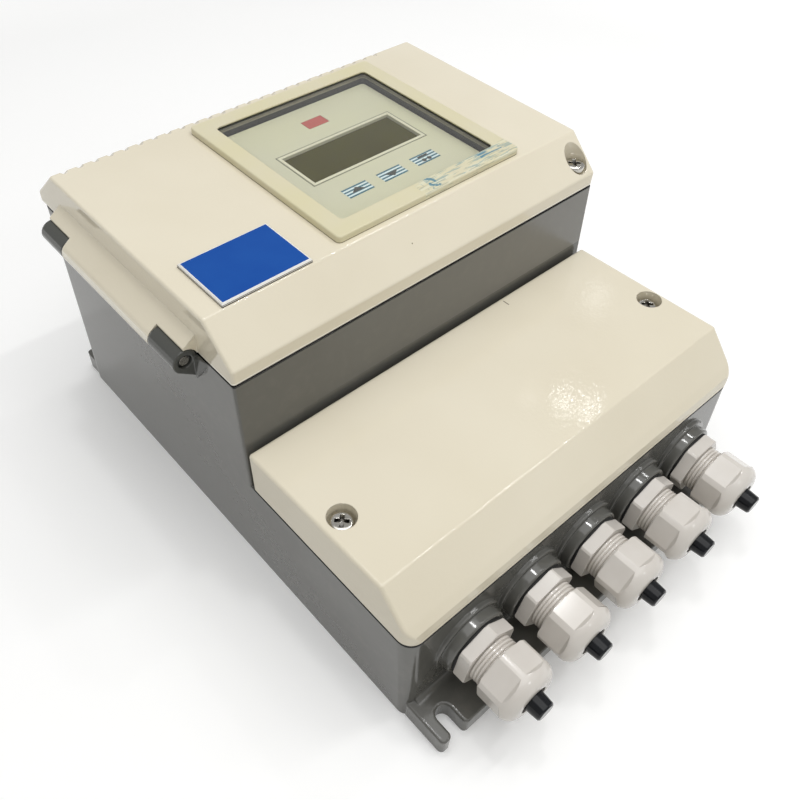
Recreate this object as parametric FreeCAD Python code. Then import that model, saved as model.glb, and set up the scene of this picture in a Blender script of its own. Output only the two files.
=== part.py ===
import FreeCAD, Part
import math
import os

# Wall-mounted evaluation unit of a thermal mass flow meter, lying on its back.
# X runs across the display, Y up the display away from the cable entries and Z out of the wall.

# Housing
BODY_WIDTH = 198.0
BODY_LENGTH = 238.0
STEP_Y = -24.3
STEP_FOOT_Y = -27.6
WALL = 4.6
FLOOR = 6.0
RIM_Z = 106.4
TERMINAL_RIM_Z = 52.0
SEAL_GAP = 1.0
SEAL_INSET = 0.3
SEAL_WIDTH = 2.0
SEAL_DEPTH = 1.4
SEAL_CORNER_RADIUS = 1.6
FLANGE_HEIGHT = 9.5
FLANGE_HALF_WIDTH = 98.0
FLANGE_FRONT_Y = -140.2
FLANGE_REAR_Y = 125.6
FRONT_FOOT_Y = -121.7
FRONT_CORNER_RADIUS = 6.3
FOOT_CORNER_RADIUS = 4.5
FOOT_HOLLOW_RADIUS = 3.0
REAR_CORNER_RADIUS = 6.0
STEP_CORNER_RADIUS = 1.0
FLANGE_CORNER_RADIUS = 2.0
FLANGE_EDGE_RADIUS = 0.9
INNER_CORNER_RADIUS = 2.0
WIRING_CORNER_RADIUS = 6.0
LID_PILLAR_RADIUS = 6.4
COVER_PILLAR_RADIUS = 6.9
CHASSIS_PILLAR_RADIUS = 5.0
BOARD_PILLAR_RADIUS = 4.0
TAPPED_DEPTH = 16.0
SLOT_SPACING = 178.6
SLOT_Y = -132.1
SLOT_RADIUS = 3.5
TOP_LUG_Y = 131.0
TOP_LUG_RADIUS = 10.0
TOP_HOLE_RADIUS = 3.5

# Cable entries
GLAND_COUNT = 5
GLAND_PITCH = 34.2
GLAND_Z = 28.9
# Each boss is a low pad with a taller collar on it: radius, face and edge rounding.
BOSS_STEPS = ((17.0, -121.3, 0.6), (14.9, -125.5, 0.9))
WASHER_THICKNESS = 0.8
WASHER_RADIUS = 13.2
GLAND_FACE_Y = BOSS_STEPS[-1][1] - WASHER_THICKNESS
GLAND_HOLE_RADIUS = 10.2
STUB_RADIUS = 9.9
STUB_LENGTH = 20.0
GLAND_BORE_RADIUS = 7.2
HEX_ACROSS_FLATS = 24.4
FLANGE_HEX_LENGTH = 5.4
SEAT_CHAMFER = 0.3
NECK_RADIUS = 10.4
NECK_LENGTH = 12.0
THREAD_DEPTH = 0.7
THREAD_PITCH = 1.5
THREAD_FLANK = 0.35
NUT_START = 11.0
NUT_HEX_LENGTH = 10.6
NUT_RAMP = 1.6
NUT_LENGTH = 16.4
NUT_CLEARANCE = 0.3
NUT_LIP = 1.0
HEX_CHAMFER = 0.4
LOCK_NUT_LENGTH = 4.5
SEAL_CLEARANCE = 0.15
INSERT_SHOULDER = 1.5
INSERT_SET_BACK = 1.2
DOME_RADIUS = 13.4
DOME_HOLE_RADIUS = 6.2
PLUG_RADIUS = 4.2
PLUG_LENGTH = 25.0
PLUG_OVERHANG = 6.0
PLUG_FLARE = 0.5
PLUG_CHAMFER = 0.6
BODY_TURNS = (23.0, 15.0, 22.0, 23.0, 2.0)
NUT_TURNS = (40.0, 12.0, 51.0, 8.0, 22.0)

# Lid
LID_TOP_Z = 127.6
LID_BAND_Z = 113.5
LID_REAR_BAND_Z = 111.8
LID_FRONT_CREASE_Y = -8.7
LID_REAR_CREASE_Y = 100.9
LID_CREASE_RADIUS = 1.6
LID_EDGE_RADIUS = 1.3
LID_WALL = 4.6
FLUTE_PITCH = 7.0
FLUTE_SPAN = (-13, 11)
FLUTE_SHIFT = -1.5
FLUTE_RADIUS = 1.6
FLUTE_DEPTH = 1.3
LID_SCREW_X = 91.8
LID_SCREW_INSET = 7.0
RECESS_RADIUS = 5.7
RECESS_WALL = 1.4
LID_RECESS_FLOOR_Z = 113.8

# Hinge on the left side
HINGE_X = -104.5
HINGE_Z = 106.0
HINGE_RADIUS = 5.0
HINGE_FRONT_Y = -2.3
HINGE_REAR_Y = 97.7
KNUCKLE_LENGTH = 17.0
HINGE_GAP = 0.4
WING_TOP_Z = 116.2
WEB_FOOT_Z = 95.4
FLARE_LENGTH = 7.0
FLARE_RISE = 2.2
PIN_RADIUS = 2.0
PIN_LENGTH = 27.0
PIN_SET_BACK = 0.6
EYE_SINK_RADIUS = 2.9
EYE_SINK_DEPTH = 2.0
EYE_CLEARANCE = 0.1
BARREL_CLEARANCE = 0.3

# Window and display
WINDOW_X = 13.8
WINDOW_Y = 43.9
BEZEL_SIZE = 100.6
BEZEL_TOP_Z = 130.6
VIEW_SIZE = 84.4
VIEW_CORNER_RADIUS = 2.0
BEZEL_CORNER_RADIUS = 2.0
BEZEL_EDGE_RADIUS = 0.7
APERTURE_SIZE = 88.0
APERTURE_CORNER_RADIUS = 3.0
PANE_SIZE = 90.0
PANE_THICKNESS = 2.4
PANE_CLEARANCE = 0.2
LINER_FLANGE_SIZE = 100.0
LINER_FLANGE_THICKNESS = 1.6
CLAMP_INSET = 2.2
PLATE_SIZE = 83.0
PLATE_TOP_Z = 123.5
PLATE_THICKNESS = 1.5
PLATE_CORNER_RADIUS = 1.5
DISPLAY_X = 14.3
LCD_Y = 44.9
LCD_VIEW = (60.2, 22.6)
LCD_FRAME_WIDTH = 1.4
LCD_FRAME_RISE = 0.4
LCD_SINK = 0.9
LED_Y = 71.2
LED_SIZE = (11.0, 6.4)
LED_CLEARANCE = 0.2
FOIL_THICKNESS = 0.3
FOIL_MARGIN = 0.5
TAG_X = (-90.0, -50.5)
TAG_Y = (-8.4, 20.0)
TAG_THICKNESS = 1.6
TAG_CHAMFER = 0.5

# Terminal cover
COVER_REAR_Y = -29.2
COVER_REAR_TOP = (-28.0, 73.2)
COVER_CREASE = (-102.5, 75.0)
COVER_SHOULDER = (-115.2, 61.6)
COVER_BAND = (0.9, 58.2)
COVER_EDGE_RADIUS = 1.5
COVER_WALL = 4.6
COVER_SCREW_XS = (-90.2, 91.9)
COVER_SCREW_Y = -72.6
COVER_RECESS_FLOOR_Z = 67.7

# Fasteners
SCREW_RADIUS = 2.1
SCREW_HOLE_RADIUS = 2.5
SCREW_HEAD_RADIUS = 4.8
SCREW_HEAD_HEIGHT = 2.8
SCREW_CLEARANCE = 0.2
SCREW_GRIP = 10.0
CROSS_WIDTH = 1.5
CROSS_REACH = 6.6
CROSS_DEPTH = 1.6
CROSS_TURN = 45.0
SMALL_SCREW_RADIUS = 1.4
SMALL_HEAD_RADIUS = 2.6
SMALL_HEAD_HEIGHT = 1.6
SMALL_HOLE_RADIUS = 1.6
CLAMP_HEAD_RADIUS = 2.0

# Electronics
BOARD_THICKNESS = 1.6
CHASSIS_THICKNESS = 1.5
CHASSIS_CORNER_RADIUS = 4.0
CHASSIS_SCREW_LENGTH = 8.0
CHASSIS_X = (-84.0, 84.0)
CHASSIS_Y = (-8.0, 104.0)
CHASSIS_Z = 14.0
CHASSIS_FIXINGS = ((-78.0, -2.0), (78.0, -2.0), (-78.0, 98.0), (78.0, 98.0))
CARRIER_Z = (108.0, PLATE_TOP_Z - PLATE_THICKNESS)
CARRIER_SIZE = 80.0
DISPLAY_BOARD_Z = 114.0
CHEEK_SPACING = 76.0
CHEEK_Y = (8.0, 80.0)
CHEEK_WINDOW_Y = (20.0, 68.0)
CHEEK_WINDOW_Z = (50.0, 90.0)
EAR_WIDTH = 8.0
MAIN_BOARD_Z = 24.0
MAIN_BOARD_SIZE = (66.0, 64.0)
# Components on the measuring board: offsets from the window's centre, plan size, height.
MAIN_BOARD_BLOCKS = ((-14, 10, 22, 22, 3.0), (16, 14, 14, 10, 2.5), (0, -26, 40, 8, 9.0))
MAIN_BOARD_CANS = ((22, -8), (10, -8))
CAN_RADIUS = 4.0
CAN_HEIGHT = 12.0
SPACER_REACH = (28.0, 26.0)
SPACER_RADIUS = 2.6
POWER_BOARD_X = -62.0
POWER_BOARD_Y = (6.0, 84.0)
POWER_BOARD_TOP_Z = 86.0
POWER_FOOT_Y = (20.0, 70.0)
POWER_FOOT_REACH = 12.0
POWER_FOOT_THICKNESS = 2.0
FUSE_HOLDER_REACH = 9.0
FUSE_HOLDER_Y = (10.0, 32.0)
FUSE_HOLDER_Z = (60.0, 68.0)
CAPACITOR_RADIUS = 7.0
CAPACITOR_LENGTH = 22.0
CAPACITOR_PLACE = (66.0, 62.0)
TRANSFORMER_SIZE = (28.0, 36.0, 30.0)
TRANSFORMER_Y = 44.0
WINDING_SIZE = (20.0, 48.0, 16.0)
FEED_X = 36.0
FEED_Z = (20.0, 33.0)
TERMINAL_BOARD_Z = 12.0
TERMINAL_BOARD_Y = (-90.0, -50.0)
TERMINAL_BOARD_X = 80.0
TERMINAL_FIXING_INSET = 5.0
TERMINAL_SCREW_LENGTH = 6.0
TERMINAL_POLES = 8
TERMINAL_PITCH = 5.0
TERMINAL_BLOCK_XS = {"left": -44.0, "middle": 0.0, "right": 44.0}
TERMINAL_FRONT_Y = -76.0
TERMINAL_REAR_Y = -60.0
TERMINAL_RISE = (9.0, 14.0, 18.0)
TERMINAL_CROWN = 6.0
FUNNEL_SIZE = (3.4, 12.0)
FUNNEL_Z = (2.5, 6.5)
WELL_SIZE = 3.0
FEED_CLEARANCE = 0.2
FEED_STAND_FRONT = 4.0
FEED_STAND_REAR = 3.0
FEED_MOUTH_WALL = 3.0
FEED_MOUTH_DEPTH = 5.0
EARTH_X = 0.0
EARTH_Y = -42.0
EARTH_CLAMP_SIZE = 11.0
EARTH_HEAD_RADIUS = 4.4
EARTH_STEP = 3.0

HALF_WIDTH = BODY_WIDTH / 2
FRONT_Y = -BODY_LENGTH / 2
REAR_Y = BODY_LENGTH / 2
LID_BOTTOM_Z = RIM_Z + SEAL_GAP
COVER_BOTTOM_Z = TERMINAL_RIM_Z + SEAL_GAP
TERMINAL_INNER_FRONT_Y = -112.5
TERMINAL_INNER_REAR_Y = -32.6
GLAND_XS = [GLAND_PITCH * (i - (GLAND_COUNT - 1) / 2) for i in range(GLAND_COUNT)]
LID_SCREWS = [(LID_SCREW_X, STEP_Y + LID_SCREW_INSET), (LID_SCREW_X, REAR_Y - LID_SCREW_INSET)]
COVER_SCREWS = [(x, COVER_SCREW_Y) for x in COVER_SCREW_XS]
KNUCKLES = [
    (HINGE_FRONT_Y, HINGE_FRONT_Y + KNUCKLE_LENGTH),
    (HINGE_REAR_Y - KNUCKLE_LENGTH, HINGE_REAR_Y),
]

UP = FreeCAD.Vector(0, 0, 1)
UP_THE_DISPLAY = FreeCAD.Vector(0, 1, 0)


# Building blocks

def vec(x, y, z):
    return FreeCAD.Vector(x, y, z)


def block(x, y, z):
    return Part.makeBox(x[1] - x[0], y[1] - y[0], z[1] - z[0], vec(x[0], y[0], z[0]))


def centred(x, y, size_x, size_y, z):
    half_x = size_x / 2
    half_y = size_y / 2
    return block((x - half_x, x + half_x), (y - half_y, y + half_y), z)


def post(x, y, z, radius):
    return Part.makeCylinder(radius, z[1] - z[0], vec(x, y, z[0]), UP)


def prism(points, sweep):
    """Solid of a closed outline of vectors, swept along a vector."""
    return Part.Face(Part.makePolygon(points + points[:1])).extrude(sweep)


def prism_x(outline, x):
    return prism([vec(x[0], y, z) for y, z in outline], vec(x[1] - x[0], 0, 0))


def prism_y(outline, y):
    return prism([vec(px, y[0], pz) for px, pz in outline], vec(0, y[1] - y[0], 0))


def plan_wire(x, y, z, front_radius, rear_radius):
    """Rectangle at one height, with its own corner radius at the front and at the rear."""
    corners = [
        (x[0], y[0], 1, 1, front_radius),
        (x[1], y[0], -1, 1, front_radius),
        (x[1], y[1], -1, -1, rear_radius),
        (x[0], y[1], 1, -1, rear_radius),
    ]
    edges = []
    ends = []
    for i, (cx, cy, sx, sy, r) in enumerate(corners):
        along_x = vec(cx + sx * r, cy, z)
        along_y = vec(cx, cy + sy * r, z)
        nick = r * (1 - math.sqrt(0.5))
        middle = vec(cx + sx * nick, cy + sy * nick, z)
        first, last = (along_y, along_x) if i % 2 == 0 else (along_x, along_y)
        ends.append((first, last, Part.Arc(first, middle, last).toShape()))
    for i, (first, last, arc) in enumerate(ends):
        edges.append(arc)
        edges.append(Part.makeLine(last, ends[(i + 1) % 4][0]))
    return Part.Wire(edges)


def slab(x, y, z, front_radius, rear_radius=None):
    """Block with rounded upright edges."""
    rear = front_radius if rear_radius is None else rear_radius
    face = Part.Face(plan_wire(x, y, z[0], front_radius, rear))
    return face.extrude(vec(0, 0, z[1] - z[0]))


def square_slab(size, z, radius):
    """Rounded square centred on the window."""
    half = size / 2
    return slab((WINDOW_X - half, WINDOW_X + half), (WINDOW_Y - half, WINDOW_Y + half), z, radius)


def turned(outline, x, z):
    """Solid turned about an axis that runs forward from the gland face: outline of (radius, reach)."""
    points = [vec(x + r, GLAND_FACE_Y - reach, z) for r, reach in outline]
    face = Part.Face(Part.makePolygon(points + points[:1]))
    return face.revolve(vec(x, 0, z), UP_THE_DISPLAY, 360)


def hex_wire(x, z, reach, turn, across_flats=HEX_ACROSS_FLATS):
    """Hexagon about a gland axis, at a distance from the gland face."""
    radius = across_flats / math.sqrt(3)
    points = []
    for i in range(6):
        angle = math.radians(60 * i + turn)
        points.append(vec(x + radius * math.cos(angle), GLAND_FACE_Y - reach, z + radius * math.sin(angle)))
    return Part.makePolygon(points + points[:1])


def hexagon(x, z, reach, turn):
    """Hexagonal prism about a gland axis, between two distances from the gland face."""
    return Part.Face(hex_wire(x, z, reach[0], turn)).extrude(vec(0, reach[0] - reach[1], 0))


def rounded(shape, radius, chosen):
    """Fillet the edges that a test chooses."""
    edges = [edge for edge in shape.Edges if chosen(edge)]
    return shape.makeFillet(radius, edges)


def middle_of(edge):
    return edge.valueAt((edge.FirstParameter + edge.LastParameter) / 2)


def pan_screw(x, y, seat_z, length):
    """Pan-head screw with a cross recess, its head standing on the seat."""
    head = Part.makeCylinder(SCREW_HEAD_RADIUS, SCREW_HEAD_HEIGHT, vec(x, y, seat_z), UP)
    rim = [edge for edge in head.Edges if abs(middle_of(edge).z - seat_z - SCREW_HEAD_HEIGHT) < 0.01]
    head = head.makeFillet(SCREW_HEAD_HEIGHT * 0.5, rim)
    depth = (seat_z + SCREW_HEAD_HEIGHT - CROSS_DEPTH, seat_z + SCREW_HEAD_HEIGHT)
    for turn in (CROSS_TURN, CROSS_TURN + 90):
        slot = centred(x, y, CROSS_WIDTH, CROSS_REACH, depth)
        slot.rotate(vec(x, y, 0), UP, turn)
        head = head.cut(slot)
    return head.fuse(post(x, y, (seat_z - length, seat_z), SCREW_RADIUS)).removeSplitter()


def small_screws(places, seat_z, length):
    """Small cheese-head screws that stand on a seat, one solid each."""
    screws = []
    for x, y in places:
        head = post(x, y, (seat_z, seat_z + SMALL_HEAD_HEIGHT), SMALL_HEAD_RADIUS)
        shank = post(x, y, (seat_z - length, seat_z), SMALL_SCREW_RADIUS)
        screws.append(head.fuse(shank).removeSplitter())
    return Part.makeCompound(screws)


# Housing

def gland_axis_rod(x, radius, y):
    return Part.makeCylinder(radius, y[1] - y[0], vec(x, y[0], GLAND_Z), UP_THE_DISPLAY)


def gland_boss(x):
    boss = None
    for radius, face_y, edge_radius in BOSS_STEPS:
        step = gland_axis_rod(x, radius, (face_y, TERMINAL_INNER_FRONT_Y))
        step = rounded(step, edge_radius, lambda edge: abs(middle_of(edge).y - face_y) < 0.01)
        boss = step if boss is None else boss.fuse(step)
    return boss


def foot_hollow():
    """Hollow curve that eases the front wall into the flange."""
    top_z = FLANGE_HEIGHT + FOOT_HOLLOW_RADIUS
    wall_y = FRONT_FOOT_Y + (FRONT_Y - FRONT_FOOT_Y) * top_z / TERMINAL_RIM_Z
    half = HALF_WIDTH - FOOT_CORNER_RADIUS
    centre_y = wall_y - FOOT_HOLLOW_RADIUS
    strip = block((-half, half), (centre_y, wall_y + 1), (FLANGE_HEIGHT - 1, top_z))
    hollow = Part.makeCylinder(FOOT_HOLLOW_RADIUS, 2 * half, vec(-half, centre_y, top_z), vec(1, 0, 0))
    return strip.cut(hollow)


def terminal_box():
    """Lower chamber: its front wall leans out towards the foot and carries the gland bosses."""
    sides = (-HALF_WIDTH, HALF_WIDTH)
    rear = STEP_Y + WALL
    top = plan_wire(sides, (FRONT_Y, rear), TERMINAL_RIM_Z, FRONT_CORNER_RADIUS, STEP_CORNER_RADIUS)
    foot = plan_wire(sides, (FRONT_FOOT_Y, rear), 0, FOOT_CORNER_RADIUS, STEP_CORNER_RADIUS)
    box = Part.makeLoft([foot, top], True, True).fuse(foot_hollow())
    for x in GLAND_XS:
        box = box.fuse(gland_boss(x))
    return box


def upper_box():
    """Electronics chamber, whose front wall leans out down to the terminal rim."""
    sides = (-HALF_WIDTH, HALF_WIDTH)
    radii = (STEP_CORNER_RADIUS, REAR_CORNER_RADIUS)
    foot = plan_wire(sides, (STEP_FOOT_Y, REAR_Y), TERMINAL_RIM_Z, radii[0], radii[1])
    rim = plan_wire(sides, (STEP_Y, REAR_Y), RIM_Z, radii[0], radii[1])
    base = slab(sides, (STEP_FOOT_Y, REAR_Y), (0, TERMINAL_RIM_Z), radii[0], radii[1])
    return Part.makeLoft([foot, rim], True, True).fuse(base)


def at_slot_mouth(edge):
    middle = middle_of(edge)
    beside_slot = abs(abs(abs(middle.x) - SLOT_SPACING / 2) - SLOT_RADIUS) < 0.01
    upright = abs(middle.z - FLANGE_HEIGHT / 2) < 0.01
    return beside_slot and upright and abs(middle.y - FLANGE_FRONT_Y) < 0.01


def on_flange_top(edge):
    middle = middle_of(edge)
    return abs(middle.z - FLANGE_HEIGHT) < 0.01 and middle.y < FRONT_FOOT_Y - 1


def mounting_flanges():
    """Feet at the wall: open slots at the bottom edge, one hanging lug at the top."""
    sides = (-FLANGE_HALF_WIDTH, FLANGE_HALF_WIDTH)
    height = (0, FLANGE_HEIGHT)
    front = slab(sides, (FLANGE_FRONT_Y, FRONT_Y), height, FLANGE_CORNER_RADIUS)
    for side in (-1, 1):
        x = side * SLOT_SPACING / 2
        front = front.cut(post(x, SLOT_Y, height, SLOT_RADIUS))
        front = front.cut(block((x - SLOT_RADIUS, x + SLOT_RADIUS), (FLANGE_FRONT_Y - 1, SLOT_Y), height))
    front = rounded(front, FLANGE_CORNER_RADIUS, at_slot_mouth)
    front = rounded(front, FLANGE_EDGE_RADIUS, on_flange_top)
    rear = slab(sides, (REAR_Y - WALL, FLANGE_REAR_Y), height, FLANGE_CORNER_RADIUS)
    lug = centred(0, REAR_Y, 2 * TOP_LUG_RADIUS, 2 * (TOP_LUG_Y - REAR_Y), height)
    lug = lug.fuse(post(0, TOP_LUG_Y, height, TOP_LUG_RADIUS))
    rear = rear.fuse(lug).cut(post(0, TOP_LUG_Y, height, TOP_HOLE_RADIUS))
    return front.fuse(rear)


def hinge_knuckles():
    """Eyes cast on the left wall, each on a web that tapers into the wall."""
    tangent = HINGE_RADIUS * math.sqrt(0.5)
    web = [
        (HINGE_X - tangent, HINGE_Z - tangent),
        (-HALF_WIDTH, WEB_FOOT_Z),
        (-HALF_WIDTH + WALL / 2, WEB_FOOT_Z),
        (-HALF_WIDTH + WALL / 2, RIM_Z),
        (HINGE_X, RIM_Z),
    ]
    eyes = []
    sinks = ((HINGE_FRONT_Y, 1), (HINGE_REAR_Y, -1))
    for y, (outer_y, inward) in zip(KNUCKLES, sinks):
        start = vec(HINGE_X, y[0], HINGE_Z)
        length = y[1] - y[0]
        eye = Part.makeCylinder(HINGE_RADIUS, length, start, UP_THE_DISPLAY).fuse(prism_y(web, y))
        bore = Part.makeCylinder(PIN_RADIUS + EYE_CLEARANCE, length, start, UP_THE_DISPLAY)
        mouth = vec(HINGE_X, outer_y, HINGE_Z)
        sink = Part.makeCylinder(EYE_SINK_RADIUS, EYE_SINK_DEPTH, mouth, vec(0, inward, 0))
        eyes.append(eye.cut(bore).cut(sink))
    root = -HALF_WIDTH + WALL / 2
    for end, outward in ((HINGE_FRONT_Y, -1), (HINGE_REAR_Y, 1)):
        tip_y = end + outward * FLARE_LENGTH
        plan = [vec(root, end, WEB_FOOT_Z), vec(root, tip_y, WEB_FOOT_Z)]
        plan += [vec(-HALF_WIDTH, tip_y, WEB_FOOT_Z), vec(-HALF_WIDTH - FLARE_RISE, end, WEB_FOOT_Z)]
        side = prism_x([(end, WEB_FOOT_Z), (tip_y, RIM_Z), (end, RIM_Z)], (HINGE_X, root))
        eyes.append(prism(plan, vec(0, 0, RIM_Z - WEB_FOOT_Z)).common(side))
    return eyes


def make_housing():
    inner = (-HALF_WIDTH + WALL, HALF_WIDTH - WALL)
    body = upper_box().fuse(terminal_box()).fuse(mounting_flanges())
    body = body.cut(slab(inner, (STEP_Y + WALL, REAR_Y - WALL), (FLOOR, RIM_Z), INNER_CORNER_RADIUS))
    wiring_y = (TERMINAL_INNER_FRONT_Y, TERMINAL_INNER_REAR_Y)
    wiring = slab(inner, wiring_y, (FLOOR, TERMINAL_RIM_Z), WIRING_CORNER_RADIUS)
    body = body.cut(wiring)
    for x, y in LID_SCREWS:
        body = body.fuse(post(x, y, (FLOOR, RIM_Z), LID_PILLAR_RADIUS))
        body = body.cut(post(x, y, (RIM_Z - TAPPED_DEPTH, RIM_Z), SCREW_HOLE_RADIUS))
    for x, y in COVER_SCREWS:
        body = body.fuse(post(x, y, (FLOOR, TERMINAL_RIM_Z), COVER_PILLAR_RADIUS))
        body = body.cut(post(x, y, (TERMINAL_RIM_Z - TAPPED_DEPTH, TERMINAL_RIM_Z), SCREW_HOLE_RADIUS))
    for x, y in CHASSIS_FIXINGS:
        body = body.fuse(post(x, y, (FLOOR, CHASSIS_Z), CHASSIS_PILLAR_RADIUS))
        body = body.cut(post(x, y, (FLOOR, CHASSIS_Z), SMALL_HOLE_RADIUS))
    for x, y in terminal_fixings():
        body = body.fuse(post(x, y, (FLOOR, TERMINAL_BOARD_Z), BOARD_PILLAR_RADIUS))
        body = body.cut(post(x, y, (FLOOR, TERMINAL_BOARD_Z), SMALL_HOLE_RADIUS))
    for x in GLAND_XS:
        body = body.cut(gland_axis_rod(x, GLAND_HOLE_RADIUS, (GLAND_FACE_Y, TERMINAL_INNER_FRONT_Y + 1)))
    body = body.cut(block((-FEED_X, FEED_X), (TERMINAL_INNER_REAR_Y, STEP_Y + WALL), FEED_Z))
    for eye in hinge_knuckles():
        body = body.fuse(eye)
    earth_hole = post(EARTH_X, EARTH_Y, (FLOOR - EARTH_STEP - 1, FLOOR), SCREW_HOLE_RADIUS)
    return body.cut(earth_hole).removeSplitter()


# Lid

def lid_outline(inset):
    """Side view of the lid as (y, z), with its faces moved in by the inset."""
    lean = math.atan2(LID_TOP_Z - LID_BAND_Z, LID_FRONT_CREASE_Y - STEP_Y)
    shift = inset * math.tan(lean / 2)
    drop = inset * math.tan((math.pi / 2 - lean) / 2)
    return [
        (STEP_Y + inset, LID_BOTTOM_Z),
        (STEP_Y + inset, LID_BAND_Z - drop),
        (LID_FRONT_CREASE_Y + shift, LID_TOP_Z - inset),
        (LID_REAR_CREASE_Y - shift, LID_TOP_Z - inset),
        (REAR_Y - inset, LID_REAR_BAND_Z - drop),
        (REAR_Y - inset, LID_BOTTOM_Z),
    ]


def on_lid_crease(edge):
    middle = middle_of(edge)
    return abs(middle.x) < 1 and middle.z > LID_BOTTOM_Z + 0.01


def on_lid_end(edge):
    middle = middle_of(edge)
    return abs(abs(middle.x) - HALF_WIDTH) < 0.01 and middle.z > LID_BOTTOM_Z + 0.01


def lid_shell():
    outer = prism_x(lid_outline(0), (-HALF_WIDTH, HALF_WIDTH))
    outer = rounded(outer, LID_CREASE_RADIUS, on_lid_crease)
    outer = rounded(outer, LID_EDGE_RADIUS, on_lid_end)
    inner = prism_x(lid_outline(LID_WALL), (-HALF_WIDTH + LID_WALL, HALF_WIDTH - LID_WALL))
    bosses = []
    for x, y in LID_SCREWS:
        bosses.append(outer.common(post(x, y, (LID_BOTTOM_Z, LID_TOP_Z), RECESS_RADIUS + RECESS_WALL)))
    shell = outer.cut(inner)
    for boss in bosses:
        shell = shell.fuse(boss)
    for x, y in LID_SCREWS:
        shell = shell.cut(post(x, y, (LID_RECESS_FLOOR_Z, LID_TOP_Z + 1), RECESS_RADIUS))
        shell = shell.cut(post(x, y, (LID_BOTTOM_Z, LID_RECESS_FLOOR_Z), SCREW_RADIUS + SCREW_CLEARANCE))
    return shell


def flutes():
    """Finger flutes down the rear slope, which scallop the lid's upper edge."""
    run = vec(0, REAR_Y - LID_REAR_CREASE_Y, LID_REAR_BAND_Z - LID_TOP_Z)
    away = vec(0, -run.z, run.y).normalize()
    lift = FLUTE_RADIUS - FLUTE_DEPTH
    tools = []
    for i in range(FLUTE_SPAN[0], FLUTE_SPAN[1] + 1):
        start = vec(i * FLUTE_PITCH + FLUTE_SHIFT, LID_REAR_CREASE_Y, LID_TOP_Z) + away * lift - run * 0.2
        tools.append(Part.makeCylinder(FLUTE_RADIUS, run.Length * 1.4, start, run))
    return Part.makeCompound(tools)


def hinge_wing():
    """Sloping flange of the lid that rolls round the hinge pins between the two eyes."""
    corner = (-HALF_WIDTH, WING_TOP_Z)
    across = (HINGE_X - corner[0], HINGE_Z - corner[1])
    distance = math.hypot(across[0], across[1])
    heading = math.atan2(across[1], across[0]) - math.asin(HINGE_RADIUS / distance)
    reach = math.sqrt(distance ** 2 - HINGE_RADIUS ** 2)
    touch = (corner[0] + reach * math.cos(heading), corner[1] + reach * math.sin(heading))
    web = [
        (-HALF_WIDTH + LID_WALL / 2, LID_BOTTOM_Z),
        (-HALF_WIDTH + LID_WALL / 2, WING_TOP_Z),
        corner,
        touch,
        (HINGE_X, HINGE_Z),
        (HINGE_X, LID_BOTTOM_Z),
    ]
    span = (HINGE_FRONT_Y, HINGE_REAR_Y)
    length = span[1] - span[0]
    barrel = Part.makeCylinder(HINGE_RADIUS, length, vec(HINGE_X, span[0], HINGE_Z), UP_THE_DISPLAY)
    wing = barrel.fuse(prism_y(web, span))
    for y in KNUCKLES:
        room = (y[0] - HINGE_GAP, y[1] + HINGE_GAP)
        start = vec(HINGE_X, room[0], HINGE_Z)
        sweep = Part.makeCylinder(HINGE_RADIUS + HINGE_GAP, room[1] - room[0], start, UP_THE_DISPLAY)
        wing = wing.cut(sweep)
        wing = wing.cut(block((HINGE_X - 2 * HINGE_RADIUS, HINGE_X), room, (HINGE_Z, LID_TOP_Z)))
    bore_radius = PIN_RADIUS + BARREL_CLEARANCE
    return wing.cut(Part.makeCylinder(bore_radius, length, vec(HINGE_X, span[0], HINGE_Z), UP_THE_DISPLAY))


def seal_ring(y, z, front_radius, rear_radius):
    """Flat ring that follows the housing's rim, with the radii of its outer corners."""
    rings = []
    for inset, trim in ((SEAL_INSET, 0), (SEAL_INSET + SEAL_WIDTH, SEAL_WIDTH / 2)):
        side = HALF_WIDTH - inset
        along = (y[0] + inset, y[1] - inset)
        rings.append(slab((-side, side), along, z, front_radius - trim, rear_radius - trim))
    return rings[0].cut(rings[1])


def lid_seal(z):
    return seal_ring((STEP_Y, REAR_Y), z, SEAL_CORNER_RADIUS, REAR_CORNER_RADIUS - SEAL_INSET)


def clamp_places():
    reach = LINER_FLANGE_SIZE / 2 - CLAMP_INSET
    return [(WINDOW_X + sx * reach, WINDOW_Y + sy * reach * 0.6) for sx in (-1, 1) for sy in (-1, 1)]


def make_lid():
    lid = lid_shell().fuse(hinge_wing())
    lid = lid.cut(flutes())
    lid = lid.cut(square_slab(APERTURE_SIZE, (LID_BOTTOM_Z, LID_TOP_Z), APERTURE_CORNER_RADIUS))
    lid = lid.cut(lid_seal((LID_BOTTOM_Z, LID_BOTTOM_Z + SEAL_DEPTH)))
    for x, y in clamp_places():
        lid = lid.cut(post(x, y, (LID_BOTTOM_Z, LID_TOP_Z), SMALL_HOLE_RADIUS))
    return lid.removeSplitter()


def make_lid_gasket():
    return lid_seal((RIM_Z + SEAL_CLEARANCE, LID_BOTTOM_Z + SEAL_DEPTH))


def make_hinge_pin(outer_y, inward):
    start = outer_y + inward * PIN_SET_BACK
    return Part.makeCylinder(PIN_RADIUS, PIN_LENGTH, vec(HINGE_X, start, HINGE_Z), vec(0, inward, 0))


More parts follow.
